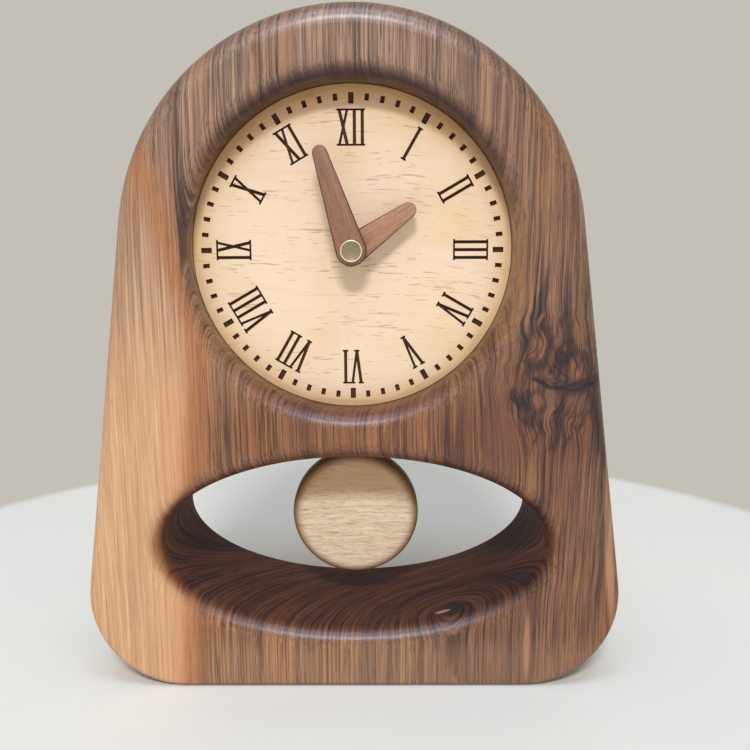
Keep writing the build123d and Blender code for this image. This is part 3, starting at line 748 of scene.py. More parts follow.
    def build(self) -> Material:
        """Lays the walnut's layers from the heartwood out.

        Returns:
            The walnut material.
        """
        bench = Bench("oiled walnut block")
        timber = self._timber(bench)
        body, sap_share = self._sapwood(timber, self._heart(timber))
        body, shade = self._knot(timber, body)
        body = self._streaks(timber, self._spike(timber, body))
        pores = timber.grains[Grain.PORE].step(0.60, 0.70)
        body = bench.mix(pores * (0.50 - sap_share * 0.34), body, (62, 40, 29))
        body, hollow = self._end_grain_and_painted_shade(timber, body)
        body = self._pith(timber, body)
        thread, arch = timber.grains[Grain.THREAD], timber.place[2].step(205.0, 245.0)
        height = thread * 0.6 - pores * 0.8 - timber.grains[Grain.STRIPE] * 0.3
        return bench.finish(
            Base_Color=body,
            Roughness=0.38 + thread * 0.10 + pores * 0.14 + hollow * 0.35,
            Normal=bench.bump(height, 0.07, 0.35),
            Specular_IOR_Level=0.5,
            # The bluish specular tint paints the cool colour of the light into the wood's highlights.
            Specular_Tint=(0.52, 0.70, 1.0, 1.0),
            Coat_Weight=0.26 - hollow * 0.23 + arch * 0.30 - shade * 0.16,
            Coat_Roughness=0.32,
        )


@dataclass(frozen=True)
class MapleFinish:
    """Pale dial wood with level grain, short brown flecks and a few warm patches, with painted warm shade
    round its rim and a painted shadow at its top.
    """

    shaft_z: float = SHAFT_Z
    stops: tuple[Stop, ...] = ((0.34, (238, 210, 173)), (0.50, (241, 214, 184)), (0.66, (243, 216, 190)))

    def build(self) -> Material:
        """Makes the finish.

        Returns:
            The pale dial wood.
        """
        bench = Bench("pale dial maple")
        x, y, z = bench.place()
        rise = z - self.shaft_z
        sway = bench.noise((x, y, z), (0.018, 0.02, 0.03), 1.0) - 0.5
        level = z + sway * 9.0 + x.step(5.0, 60.0) * x * 0.10
        grain = (x, y, level)
        streak = bench.noise(grain, (0.035, 0.3, 0.8), 3.0, 0.6)
        silk = bench.noise(grain, (0.11, 0.5, 3.0))
        fleck = bench.noise(grain, (0.13, 0.8, 1.8), 1.0)
        crowd = bench.noise((x, y, level + 50.0), (0.035, 0.1, 0.10), 1.0)
        cloud = bench.noise((x, y, z), (0.05, 0.1, 0.05))
        wood = bench.ramp(cloud, self.stops)
        wood = bench.mix(streak.step(0.52, 0.72) * 0.26, wood, (222, 184, 142))
        wood = bench.mix(silk.step(0.55, 0.75) * 0.16, wood, (212, 174, 136))
        flecks = (fleck + crowd * 0.34).step(0.84, 0.90)
        wood = bench.mix(flecks * 0.55, wood, (168, 128, 94))
        yellow = ((x - 36.0) ** 2.0 / 260.0 + (rise - 12.0) ** 2.0 / 150.0).step(1.5, 0.0)
        wood = bench.mix(yellow * cloud.step(0.35, 0.62) * 0.55, wood, (228, 194, 130))
        low = ((x - 34.0) ** 2.0 / 900.0 + (rise + 36.0) ** 2.0 / 120.0).step(1.3, 0.0)
        wood = bench.mix(low * 0.28, wood, (232, 206, 150))
        spot = ((x + 16.0) ** 2.0 / 16.0 + (rise - 56.0) ** 2.0 / 6.0).step(1.6, 0.0)
        wood = bench.mix(spot * 0.5, wood, (196, 124, 70))
        rim = x.aslant(rise)
        # Painted shade: a warm tint round the rim, where the case's recess shades the dial and bounces warm
        # light on it.
        wood = bench.mix(rim.step(50.0, 59.0) * 0.6, wood, (226, 184, 122))
        # Painted shadow: the upper rim, under the case's lip, is browner and darker.
        wood = bench.mix(rim.step(44.0, 59.5) * rise.step(12.0, 46.0) * 0.62, wood, (206, 148, 86))
        return bench.finish(
            Base_Color=wood,
            Roughness=0.5 + silk * 0.12,
            Normal=bench.bump(silk * 0.5 - flecks, 0.06, 0.4),
        )


@dataclass(frozen=True)
class ScorchFinish:
    """Laser-burnt wood inside the engraving: toasted at the rim, charred on the floor; the darkening with
    depth is partly real char and partly painted shade.
    """

    stops: tuple[Stop, ...] = (
        (0.02, (126, 84, 52)), (0.22, (84, 52, 30)), (0.60, (60, 35, 20)), (0.98, (74, 45, 27)),
    )

    def build(self) -> Material:
        """Makes the finish.

        Returns:
            The burnt wood.
        """
        bench = Bench("burnt engraving")
        place = bench.place()
        soot = bench.noise(place, (0.6, 2.0, 2.6), 3.0, 0.6)
        # Darker with depth into the cut: partly real char, partly painted shade in the narrow engraving.
        burnt = bench.ramp((place[1] - DIAL_FRONT) / DIAL_CUT, self.stops)
        return bench.finish(
            Base_Color=bench.mix(soot.step(0.50, 0.72) * 0.55, burnt, (124, 84, 52)),
            Roughness=0.72 + soot * 0.15,
            Normal=bench.bump(soot, 0.12, 0.5),
        )


@dataclass(frozen=True)
class HandWoodFinish:
    """Thin walnut of one hand, grain along it, its sawn outline burnt dark.

    angle: direction of the hand from twelve, clockwise, in degrees. length, hub, tip: the hand's
    outline. tone, line, light: colours of the ground and of its darker and paler lines. scorch: width
    of the burnt outline.
    """

    name: str
    angle: float
    length: float
    hub: float
    tip: float
    tone: Paint
    line: Paint
    light: Paint
    scorch: float = 0.62
    shaft_z: float = SHAFT_Z

    def _outside(self, along: Signal, side: Signal) -> Signal:
        """Distance outside the hand's outline, negative inside it.

        Args:
            along: place along the hand from the shaft.
            side: place beside its middle line.

        Returns:
            The distance in millimetres.
        """
        slope = (self.hub - self.tip) / self.length
        level = math.sqrt(1 - slope * slope)
        off = side.size()
        beyond = along - self.length
        past_tip = (beyond * level + off * -slope).step(-0.05, 0.05)
        before_hub = (along * level - off * slope).step(0.05, -0.05)
        outside = (off * level + along * slope - self.hub) * (1 - before_hub)
        outside = outside + (along.aslant(side) - self.hub) * before_hub
        return outside * (1 - past_tip) + (beyond.aslant(side) - self.tip) * past_tip

    def build(self) -> Material:
        """Makes the finish.

        Returns:
            The hand's wood.
        """
        bench = Bench(self.name)
        x, y, z = bench.place()
        rise = z - self.shaft_z
        sine, cosine = math.sin(math.radians(self.angle)), math.cos(math.radians(self.angle))
        along, side = x * sine + rise * cosine, x * cosine - rise * sine
        bend = bench.noise((along, side, 2.0), (0.06, 0.2, 1.0), 1.0) - 0.5
        stripe = bench.noise((along, side + bend * 3.0, y), (0.05, 0.8, 0.8), 3.0, 0.6)
        thread = bench.noise((along, side, y), (0.22, 3.0, 3.0), 2.0, 0.6)
        squiggle = bench.noise((along, side, y), (0.5, 2.4, 2.4), 2.0, 0.6, distortion=0.6)
        wood = bench.mix(stripe.step(0.48, 0.68) * 0.5, self.tone, self.line)
        wood = bench.mix(stripe.step(0.46, 0.28) * 0.45, wood, self.light)
        wood = bench.mix(thread.step(0.52, 0.66) * 0.55, wood, self.line)
        wood = bench.mix(squiggle.step(0.54, 0.66) * 0.42, wood, self.line)
        outside = self._outside(along, side)
        wall = bench.facing()[1].size().step(0.75, 0.35)
        char = outside.step(-self.scorch, -self.scorch * 0.5).most(wall)
        wood = bench.mix(outside.step(-self.scorch * 3.0, 0.0) * 0.25, wood, self.line)
        return bench.finish(
            Base_Color=bench.mix(char * 0.92, wood, (52, 33, 24)),
            Roughness=0.48 + thread * 0.12,
            Normal=bench.bump(thread, 0.07, 0.4),
        )


@dataclass(frozen=True)
class BobWoodFinish:
    """Pale open-grained wood of the pendulum bob, its grain level, painted shade over its upper part, its rim
    darkened partly by toasting and partly as painted shade.
    """

    centre_z: float = BOB_Z
    face_radius: float = 26.2
    # toasted: width of the darkened rim, partly toasting and partly painted shade.
    toasted: float = 7.0
    stops: tuple[Stop, ...] = ((0.30, (242, 220, 193)), (0.50, (233, 209, 181)), (0.70, (214, 185, 153)))

    def build(self) -> Material:
        """Makes the finish.

        Returns:
            The bob's wood.
        """
        bench = Bench("pale bob wood")
        x, y, z = place = bench.place()
        level = z + (bench.noise(place, (0.06, 0.06, 0.10)) - 0.5) * 2.6
        stripe = bench.noise((x, y, level), (0.03, 0.25, 0.55), 3.0, 0.6)
        grain = bench.noise((x, y, level), (0.14, 0.9, 1.7), 3.0, 0.6)
        pores = bench.noise((x, y, level), (0.34, 1.6, 3.0), 1.0).step(0.58, 0.68)
        wood = bench.ramp(stripe, self.stops)
        wood = bench.mix(grain.step(0.52, 0.68) * 0.55, wood, (176, 142, 108))
        wood = bench.mix(grain.step(0.46, 0.32) * 0.30, wood, (236, 216, 192))
        wood = bench.mix(pores * 0.36, wood, (150, 116, 86))
        rise = z - self.centre_z
        # Painted shade: the upper part, under the window's lip, is warmer and darker.
        wood = bench.mix(rise.step(4.0, 14.0) * 0.62, wood, (208, 158, 98))
        # Rim darkening: partly toasted wood, partly painted shade on the rounded edge.
        burnt = x.aslant(rise).step(self.face_radius - self.toasted, self.face_radius)
        return bench.finish(
            Base_Color=bench.mix(burnt * burnt * 0.92, wood, (140, 94, 48)),
            Roughness=0.5 + grain * 0.1,
            Normal=bench.bump(grain * 0.6 - pores * 0.7, 0.10, 0.45),
        )


class Axis(Enum):
    """Direction of a turned, wound or brushed surface."""

    X = 0
    Y = 1
    Z = 2


@dataclass(frozen=True)
class MetalFinish:
    """Worked metal with fine tool marks along one axis and small changes of tone.

    marks: direction in which the tool marks follow one another. pitch: their spacing.
    """

    name: str
    colour: Paint
    shade: Paint
    roughness: float
    marks: Axis
    pitch: float = 0.12

    def build(self) -> Material:
        """Makes the finish.

        Returns:
            The metal.
        """
        bench = Bench(self.name)
        place = bench.place()
        cells = [0.25] * 3
        cells[self.marks.value] = 1 / self.pitch
        marks = bench.noise(place, cells)
        cloud = bench.noise(place, [0.4] * 3, 3.0)
        metal = bench.mix(cloud.step(0.40, 0.72) * 0.6, self.colour, self.shade)
        return bench.finish(
            Base_Color=bench.mix(marks.step(0.45, 0.75) * 0.35, metal, self.shade),
            Metallic=1.0,
            Roughness=self.roughness - 0.06 + marks * 0.16,
            Normal=bench.bump(marks, 0.01, 0.5),
        )


@dataclass(frozen=True)
class MouldedFinish:
    """Moulded plastic or rubber: a fine spark-eroded skin of some depth, and faint flow marks.

    grain: cells of the skin per millimetre.
    """

    name: str
    colour: Paint
    shade: Paint
    roughness: float
    skin: float = 0.02
    grain: float = 4.5

    def build(self) -> Material:
        """Makes the finish.

        Returns:
            The moulded material.
        """
        bench = Bench(self.name)
        place = bench.place()
        skin = bench.noise(place, [self.grain] * 3, 2.0, 0.6)
        flow = bench.noise(place, (0.07, 0.07, 0.16), 3.0)
        plastic = bench.mix(flow.step(0.38, 0.70) * 0.6, self.colour, self.shade)
        return bench.finish(
            Base_Color=bench.mix(skin.step(0.52, 0.74) * 0.25, plastic, self.shade),
            Roughness=self.roughness - 0.05 + skin * 0.12,
            Normal=bench.bump(skin, self.skin, 0.6),
        )


@dataclass(frozen=True)
class WindingFinish:
    """Enamelled copper wire in tight turns along an axis."""

    name: str
    axis: Axis
    pitch: float

    def build(self) -> Material:
        """Makes the finish.

        Returns:
            The winding.
        """
        bench = Bench(self.name)
        place = bench.place()
        drift = bench.noise(place, [0.5] * 3, 1.0) * 0.6
        turn = (place[self.axis.value] / self.pitch + drift).cycle()
        wire = 1 - (turn * 2.0 - 1).size() ** 2.0
        return bench.finish(
            Base_Color=bench.mix(wire.step(0.0, 0.8), (92, 40, 20), (196, 108, 62)),
            Metallic=0.75,
            Roughness=0.5 - wire * 0.18,
            Normal=bench.bump(wire, self.pitch / 2, 0.8),
        )


@dataclass(frozen=True)
class BoardFinish:
    """Green laminate with faint glass weave and a few copper tracks up its length."""

    track_step: float = 1.6

    def build(self) -> Material:
        """Makes the finish.

        Returns:
            The circuit board.
        """
        bench = Bench("green laminate")
        x, _, z = place = bench.place()
        weave = bench.noise(place, (5.0, 5.0, 1.2), 1.0) + bench.noise(place, (1.2, 5.0, 5.0), 1.0)
        wander = bench.noise((2.0, 3.0, z), (1.0, 1.0, 0.09), 1.0) * 3.0
        track = (x / self.track_step + wander).cycle().step(0.62, 0.70)
        board = bench.mix(weave.step(0.8, 1.3) * 0.5, (38, 92, 56), (54, 112, 70))
        return bench.finish(
            Base_Color=bench.mix(track * 0.7, board, (74, 134, 84)),
            Roughness=0.34 + weave * 0.05,
            Normal=bench.bump(track, 0.04, 0.6),
        )


@dataclass(frozen=True)
class BatterySleeveFinish:
    """Plain wrapped cell: pale sleeve, dark band by the raised end, bare steel at both ends."""

    sleeve_end: float = 24.6
    band_start: float = 13.0

    def build(self) -> Material:
        """Makes the finish.

        Returns:
            The battery's skin.
        """
        bench = Bench("battery sleeve")
        x, _, _ = place = bench.place()
        crease = bench.noise(place, [0.5] * 3, 3.0)
        band = x.step(self.band_start, self.band_start + 0.15)
        sleeve = bench.mix(band, (196, 198, 200), (52, 64, 78))
        sleeve = bench.mix(crease.step(0.4, 0.7) * 0.25, sleeve, (150, 152, 156))
        bare = bench.facing()[0].size().step(0.86, 0.96)
        bare = bare.most(x.step(self.sleeve_end, self.sleeve_end + 0.1))
        return bench.finish(
            Base_Color=bench.mix(bare, sleeve, (206, 206, 204)),
            Metallic=bare,
            Roughness=0.36 + crease * 0.12 - bare * 0.08,
            Normal=bench.bump(crease, 0.05, 0.3),
        )


@dataclass(frozen=True)
class NutFaceFinish:
    """Brass cap of the hand shaft: dull olive face inside a turned, polished rim that carries a painted
    highlight.
    """

    shaft_z: float = SHAFT_Z
    face_radius: float = 3.58

    def build(self) -> Material:
        """Makes the finish.

        Returns:
            The brass of the cap nut.
        """
        bench = Bench("capped brass")
        x, y, z = place = bench.place()
        out = x.aslant(z - self.shaft_z)
        turning = bench.noise((out, y, 4.0), (9.0, 2.0, 1.0))
        haze = bench.noise(place, [0.7] * 3, 3.0)
        rim_polish_and_highlight = out.step(self.face_radius - 0.1, self.face_radius + 0.1)
        face = bench.mix(haze.step(0.35, 0.7) * 0.5, (146, 130, 97), (136, 122, 90))
        face = bench.mix(turning.step(0.45, 0.75) * 0.3, face, (126, 112, 82))
        return bench.finish(
            # Painted highlight: the rim's near-white colour; its metal and smoothness are the real polish.
            Base_Color=bench.mix(rim_polish_and_highlight, face, (250, 240, 214)),
            Metallic=0.35 + rim_polish_and_highlight * 0.2,
            Roughness=0.5 - rim_polish_and_highlight * 0.26 + haze * 0.06,
            Normal=bench.bump(turning, 0.01, 0.3),
        )


@dataclass(frozen=True)
class Lamp:
    """Soft lamp that looks at the clock.

    rise: angle above the table, in degrees. left: angle to the left of the front. reach: distance in
    metres. size: width and height in metres. level: light that a surface facing it gets, where 1
    shows a colour as written. colour: colour of its light.
    """

    name: str
    rise: float
    left: float
    reach: float
    size: Span
    level: float
    colour: tuple[float, float, float]

    def hang(self, aim_height: float) -> None:
        """Hangs the lamp.

        Args:
            aim_height: height that it looks at, in millimetres.
        """
        lamp = bpy.data.lights.new(self.name, "AREA")
        lamp.shape = "ELLIPSE"
        lamp.size, lamp.size_y = self.size
        lamp.color = self.colour
        lamp.energy = self.level * math.pi**2 * self.reach**2
        holder = bpy.data.objects.new(self.name, lamp)
        bpy.context.scene.collection.objects.link(holder)
        up, side = math.radians(self.rise), math.radians(self.left)
        away = Vector((-math.sin(side) * math.cos(up), -math.cos(side) * math.cos(up), math.sin(up)))
        holder.location = Vector((0.0, 0.0, aim_height * MM)) + away * self.reach
        holder.rotation_mode = "QUATERNION"
        holder.rotation_quaternion = (-away).to_track_quat("-Z", "Y")


@dataclass
class StudioRig:
    """Camera, pale table, backdrop tone and soft lamps."""

    camera_place: tuple[float, float, float] = (10.1, -328.15, 179.3)
    look_down: float = 10.28
    look_aside: float = -0.31
    roll: float = -0.21
    lens: float = 39.17
    sensor: float = 36.0
    clip_start: float = 10.0
    aim_height: float = 120.0
    key_reach: float = 3.0
    key_spread: float = 6.0
    key_stretch: float = 2.8
    room_level: float = 0.455
    room_colour: Colour = (1.0, 0.95, 0.885, 1.0)
    table_radius: float = 290.0
    table_edge: float = 14.0
    table_mesh_radius: float = 4000.0
    table_roughness: float = 0.55
    table: Paint = (238, 238, 231)
    table_haze: Paint = (232, 233, 229)
    wall: Paint = (196, 192, 184)

    def set_camera(self) -> None:
        """Stands the camera where the photograph was taken from."""
        down, aside, roll = (math.radians(a) for a in (self.look_down, self.look_aside, self.roll))
        level = math.cos(down)
        forward = Vector((math.sin(aside) * level, math.cos(aside) * level, -math.sin(down)))
        right = Vector((math.cos(aside), -math.sin(aside), 0.0))
        up = right.cross(forward)
        tilted_right = right * math.cos(roll) + up * math.sin(roll)
        tilted_up = up * math.cos(roll) - right * math.sin(roll)
        lens = bpy.data.cameras.new("camera")
        lens.lens, lens.sensor_width, lens.clip_start = self.lens, self.sensor, self.clip_start * MM
        camera = bpy.data.objects.new("camera", lens)
        bpy.context.scene.collection.objects.link(camera)
        turned = Matrix((tilted_right, tilted_up, -forward)).transposed().to_4x4()
        camera.matrix_world = Matrix.Translation(Vector(self.camera_place) * MM) @ turned
        bpy.context.scene.camera = camera

    def set_lamps(self) -> None:
        """Hangs the key lamp and the broad lamp overhead."""
        across = 2 * self.key_reach * math.tan(math.radians(self.key_spread / 2))
        key_size = (across * self.key_stretch, across)
        key = Lamp("key lamp", 43.6, 2.0, self.key_reach, key_size, 0.565, (0.99, 0.985, 1.0))
        overhead = Lamp("overhead lamp", 72.0, 0.0, 2.0, (1.4, 0.6), 0.31, (0.62, 0.78, 1.0))
        for lamp in (key, overhead):
            lamp.hang(self.aim_height)

    def set_world(self) -> None:
        """Gives the room an even light, and the wall's tone where a camera or a reflection sees it."""
        bench = Bench("room", bpy.data.worlds)
        rays = bench.node("ShaderNodeLightPath").outputs
        camera, gloss, glass = (
            Signal(bench, rays[f"Is {kind} Ray"]) for kind in ("Camera", "Glossy", "Transmission")
        )
        seen = camera.most(gloss).most(glass)
        light, wall = (
            bench.wire("ShaderNodeBackground", None, {"Color": colour, "Strength": level})
            for colour, level in ((self.room_colour, self.room_level), (linear(self.wall), 1.0))
        )
        blend = bench.wire("ShaderNodeMixShader", None, {0: seen, 1: light, 2: wall})
        bpy.context.scene.world = bench.end(blend, "ShaderNodeOutputWorld")

    def lay_table(self) -> None:
        """Lays the pale table top, which ends softly in front of the plain wall."""
        bench = Bench("pale table")
        x, y, _ = bench.place()
        haze = bench.noise((x, y, 0.0), (0.01, 0.01, 1.0))
        colour = bench.mix(haze.step(0.3, 0.7) * 0.4, self.table, self.table_haze)
        beyond = x.aslant(y).step(self.table_radius, self.table_radius + self.table_edge)
        beyond = beyond * bench.wire("ShaderNodeLightPath", output="Is Camera Ray")
        inputs = {"Base Color": colour, "Roughness": self.table_roughness}
        surface = bench.wire("ShaderNodeBsdfPrincipled", None, inputs)
        clear = bench.wire("ShaderNodeBsdfTransparent")
        top = bench.end(bench.wire("ShaderNodeMixShader", None, {0: beyond, 1: surface, 2: clear}))
        shape = bmesh.new()
        bmesh.ops.create_circle(shape, cap_ends=True, segments=96, radius=self.table_mesh_radius * MM)
        table = Workshop.add_object("table", shape, [top])

    def build(self) -> None:
        """Sets up the whole studio."""
        self.set_camera()
        self.set_lamps()
        self.set_world()
        self.lay_table()
        bpy.context.scene.view_settings.view_transform = "Standard"
        LOG.info("studio: camera, table, wall tone and two lamps")


class Workshop:
    """Shared steps that turn a bmesh into a finished piece, or finish CAD nodes."""

    merge_within: float = 0.002
    flat_below: float = 0.6
    sharp_above: float = 35.0

    @staticmethod
    def add_object(name: str, shape: Mesh, materials: Sequence[Material] = ()) -> bpy.types.Object:
        """Makes an object at the origin of a bmesh in metres, and frees the bmesh.

        Args:
            name: name of the object.
            shape: its mesh.
            materials: material slots in order.

        Returns:
            The new object.
        """
        mesh = bpy.data.meshes.new(name)
        shape.to_mesh(mesh)
        shape.free()
        for material in materials:
            mesh.materials.append(material)
        made = bpy.data.objects.new(name, mesh)
        bpy.context.scene.collection.objects.link(made)
        return made

    @classmethod
    def add_piece(
        cls, name: str, shape: Mesh, finishes: Sequence[Material], smooth_below: float = 35.0
    ) -> bpy.types.Object:
        """Makes a piece whose flatter edges are shaded smooth.

        Args:
            name: name of the piece.
            shape: its mesh in metres.
            finishes: material slots in order.
            smooth_below: edges flatter than this angle, in degrees, are smooth.

        Returns:
            The new piece.
        """
        for face in shape.faces:
            face.smooth = True
        limit = math.radians(smooth_below)
        for edge in shape.edges:
            edge.smooth = len(edge.link_faces) == 2 and edge.calc_face_angle(0.0) < limit
        made = cls.add_object(name, shape, finishes)
        LOG.info("piece %s: %d faces", name, len(made.data.polygons))
        return made

    @staticmethod
    def bevel(shape: Mesh, edges: Sequence[bmesh.types.BMEdge], width: float) -> None:
        """Breaks edges.

        Args:
            shape: their mesh.
            edges: the edges.
            width: width that they get, in millimetres.
        """
        bmesh.ops.bevel(
            shape, geom=edges, offset=width * MM, offset_type="OFFSET", affect="EDGES", segments=2,
            profile=0.5, material=-1, clamp_overlap=True,
        )

    @classmethod
    def softened(cls, node: str, width: float) -> Mesh:
        """Copies a CAD node's mesh, merges it and breaks its sharp edges.

        Args:
            node: name of the CAD node.
            width: width of the broken edges, in millimetres.

        Returns:
            The softened mesh, in metres.
        """
        shape = bmesh.new()
        shape.from_mesh(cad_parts[node].data)
        bmesh.ops.remove_doubles(shape, verts=shape.verts, dist=cls.merge_within * MM)
        flat, sharp = math.radians(cls.flat_below), math.radians(cls.sharp_above)
        bmesh.ops.dissolve_limit(shape, angle_limit=flat, verts=shape.verts, edges=shape.edges)
        edges = [e for e in shape.edges if len(e.link_faces) == 2 and e.calc_face_angle(0.0) > sharp]
        cls.bevel(shape, edges, width)
        return shape

    @classmethod
    def soften(cls, finish: Finish, width: float, body: str, slot: str, *nodes: str) -> None:
        """Puts copies with broken edges in place of CAD nodes.

        Args:
            finish: their finish.
            width: width of the broken edges.
            body: body that they ride on.
            slot: name of their material slot; not used.
            *nodes: names of the CAD nodes.
        """
        material = finish.build()
        for node in nodes:
            piece = cls.add_piece(f"moulded_{node}", cls.softened(node, width), [material])
            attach(piece, body)
            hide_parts(node)

    @staticmethod
    def dress(finish: Finish, *nodes: str) -> None:
        """Gives CAD nodes, whose shapes are right, their finish.

        Args:
            finish: finish for all their faces.
            *nodes: names of the CAD nodes.
        """
        material = finish.build()
        for node in nodes:
            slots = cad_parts[node].data.materials
            slots.clear()
            slots.append(material)
            LOG.info("node %s: %s", node, material.name)


@dataclass
class WalnutCase:
    """The arched walnut block."""

    finish: WalnutBlockFinish = WalnutBlockFinish()

    def build(self) -> None:
        """Dresses the block."""
        Workshop.dress(self.finish, "case_body")


@dataclass(frozen=True)
class Stroke:
    """One engraved stroke from one point to another, given across and up the numeral."""

    start: Span
    end: Span
    width: float


@dataclass
class EngravedDial:
    """Pale wooden dial with engraved and burnt Roman numerals and minute marks.

    draft: how much narrower a cut is at its floor, on each side. serif_gap: gap under which serifs
    join. hour_mark, minute_mark: inner and outer end and width.
    """

    shaft_z: float = SHAFT_Z
    thickness: float = 6.0
    radius: float = 59.9
    bore_radius: float = 3.6
    rim_break: float = 0.3
    rim_sides: int = 192
    bore_sides: int = 64
    draft: float = 0.30
    proud: float = 0.5
    numeral_foot: float = 37.9
    numeral_height: float = 13.2
    stem: float = 1.2
    thin_stem: float = 0.95
    serif: float = 0.72
    serif_reach: float = 1.05
    serif_gap: float = 0.9
    pitch: float = 2.9
    side_room: float = 1.2
    vee_half: float = 1.65
    ex_half: float = 1.45
    hour_mark: tuple[float, float, float] = (52.8, 56.8, 2.0)
    minute_mark: tuple[float, float, float] = (54.1, 56.6, 1.6)
    numerals: tuple[str, ...] = ("XII", "I", "II", "III", "IV", "V", "VI", "VII", "VIII", "IX", "X", "XI")

    @property
    def foot_line(self) -> float:
        """Height of the lower serifs' middle."""
        return self.serif / 2

    @property
    def head_line(self) -> float:
        """Height of the upper serifs' middle."""
        return self.numeral_height - self.serif / 2

    def _half(self, letter: str) -> float:
        """Half the width between a letter's outer strokes."""
        return {"I": 0.0, "V": self.vee_half, "X": self.ex_half}[letter]

    def _letter(self, letter: str, middle: float) -> list[Stroke]:
        """Strokes of one letter without its serifs.

        Args:
            letter: I, V or X.
            middle: its middle across the numeral.

        Returns:
            The strokes.
        """
        if letter == "I":
            return [Stroke((middle, self.foot_line), (middle, self.head_line), self.stem)]
        half = self._half(letter)
        crossing = half if letter == "X" else 0.0
        return [
            Stroke((middle - half, self.head_line), (middle + crossing, self.foot_line), self.stem),
            Stroke((middle + half, self.head_line), (middle - crossing, self.foot_line), self.thin_stem),
        ]

    def _joined(self, ends: list[float]) -> list[Span]:
        """Spans of the serifs at the strokes' ends, made one bar where they nearly touch.

        Args:
            ends: places of the strokes' ends across the numeral.

        Returns:
            Both ends of each bar.
        """
        joined: list[Span] = []
        for low, high in sorted((end - self.serif_reach, end + self.serif_reach) for end in ends):
            if joined and low - joined[-1][1] < self.serif_gap:
                joined[-1] = (joined[-1][0], max(high, joined[-1][1]))
            else:
                joined.append((low, high))
        return joined

    def _numeral(self, text: str) -> list[Stroke]:
        """Strokes of a whole numeral, centred across, with its foot at height 0.

        Args:
            text: the numeral.

        Returns:
            Its strokes.
        """
        place = 0.0
        strokes: list[Stroke] = []
        feet: list[float] = []
        heads: list[float] = []
        for letter in text:
            half = self._half(letter)
            room = half + self.side_room if half else self.pitch / 2
            middle = place + room
            place = middle + room
            strokes += self._letter(letter, middle)
            heads += [middle - half, middle + half]
            feet += [middle] if letter == "V" else [middle - half, middle + half]
        for height, ends in ((self.foot_line, feet), (self.head_line, heads)):
            strokes += [Stroke((low, height), (high, height), self.serif) for low, high in self._joined(ends)]
        shift = place / 2
        return [
            Stroke((s.start[0] - shift, s.start[1]), (s.end[0] - shift, s.end[1]), s.width) for s in strokes
        ]

    def _at_shaft(self, degrees: float, axis: str) -> Matrix:
        """Placing on the dial's face at the shaft, turned about an axis."""
        place = Matrix.Translation((0.0, DIAL_FRONT * MM, self.shaft_z * MM))
        return place @ Matrix.Rotation(math.radians(degrees), 4, axis)

    def _cut(self, shape: Mesh, stroke: Stroke, foot: float, turn: float) -> None:
        """Adds the tapered cutter of one stroke.

        Args:
            shape: mesh that collects the cutters.
            stroke: the stroke.
            foot: distance of the numeral's foot from the shaft.
            turn: direction from twelve, clockwise, in degrees.
        """
        start = Vector((stroke.start[0], stroke.start[1] + foot))
        end = Vector((stroke.end[0], stroke.end[1] + foot))
        run, middle = end - start, (start + end) / 2
        made = bmesh.ops.create_cube(shape, size=1.0)["verts"]
        for vert in made:
            deep = vert.co.y > 0
            narrow = self.draft if deep else -self.draft * self.proud / DIAL_CUT
            vert.co.x *= stroke.width - 2 * narrow
            vert.co.z *= run.length - 2 * narrow
            vert.co.y = DIAL_CUT if deep else -self.proud
        placed = (
            self._at_shaft(turn, "Y")
            @ Matrix.Translation((middle.x * MM, 0.0, middle.y * MM))
            @ Matrix.Rotation(math.atan2(run.x, run.y), 4, "Y")
            @ Matrix.Scale(MM, 4)
        )
        bmesh.ops.transform(shape, matrix=placed, verts=made)

    def _cutters(self) -> bpy.types.Object:
        """Makes the solid of everything that the laser takes away.

        Returns:
            The cutter.
        """
        shape = bmesh.new()
        for hour, text in enumerate(self.numerals):
            for stroke in self._numeral(text):
                self._cut(shape, stroke, self.numeral_foot, hour * 30)
        for minute in range(60):
            inner, outer, width = self.hour_mark if minute % 5 == 0 else self.minute_mark
            self._cut(shape, Stroke((0.0, inner), (0.0, outer), width), 0.0, minute * 6)
        for face in shape.faces:
            face.material_index = 1
        return Workshop.add_object("dial cutters", shape)

    def _disc(self) -> Mesh:
        """Turns the plain disc with its slightly broken front rim.

        Returns:
            The disc, in metres.
        """
        shape = bmesh.new()
        sizes = {"segments": self.rim_sides, "radius": self.radius * MM}
        rim = bmesh.ops.create_circle(shape, cap_ends=True, **sizes)["verts"]
        grown = bmesh.ops.extrude_face_region(shape, geom=[rim[0].link_faces[0]])
        back = [v for v in grown["geom"] if isinstance(v, bmesh.types.BMVert)]
        bmesh.ops.translate(shape, verts=back, vec=(0.0, 0.0, -self.thickness * MM))
        bmesh.ops.recalc_face_normals(shape, faces=shape.faces)
        bmesh.ops.transform(shape, matrix=self._at_shaft(90, "X"), verts=shape.verts)
        front = [e for e in shape.edges if all(abs(v.co.y - DIAL_FRONT * MM) < 1e-6 for v in e.verts)]
        Workshop.bevel(shape, front, self.rim_break)
        return shape

    def _bore(self) -> bpy.types.Object:
        """Makes the cutter of the shaft hole.

        Returns:
            The cutter.
        """
        shape = bmesh.new()
        radius = self.bore_radius * MM
        sizes = {"radius1": radius, "radius2": radius, "depth": self.thickness * 3 * MM}
        bmesh.ops.create_cone(shape, cap_ends=True, segments=self.bore_sides, **sizes)
        bmesh.ops.transform(shape, matrix=self._at_shaft(90, "X"), verts=shape.verts)
        return Workshop.add_object("dial bore", shape)

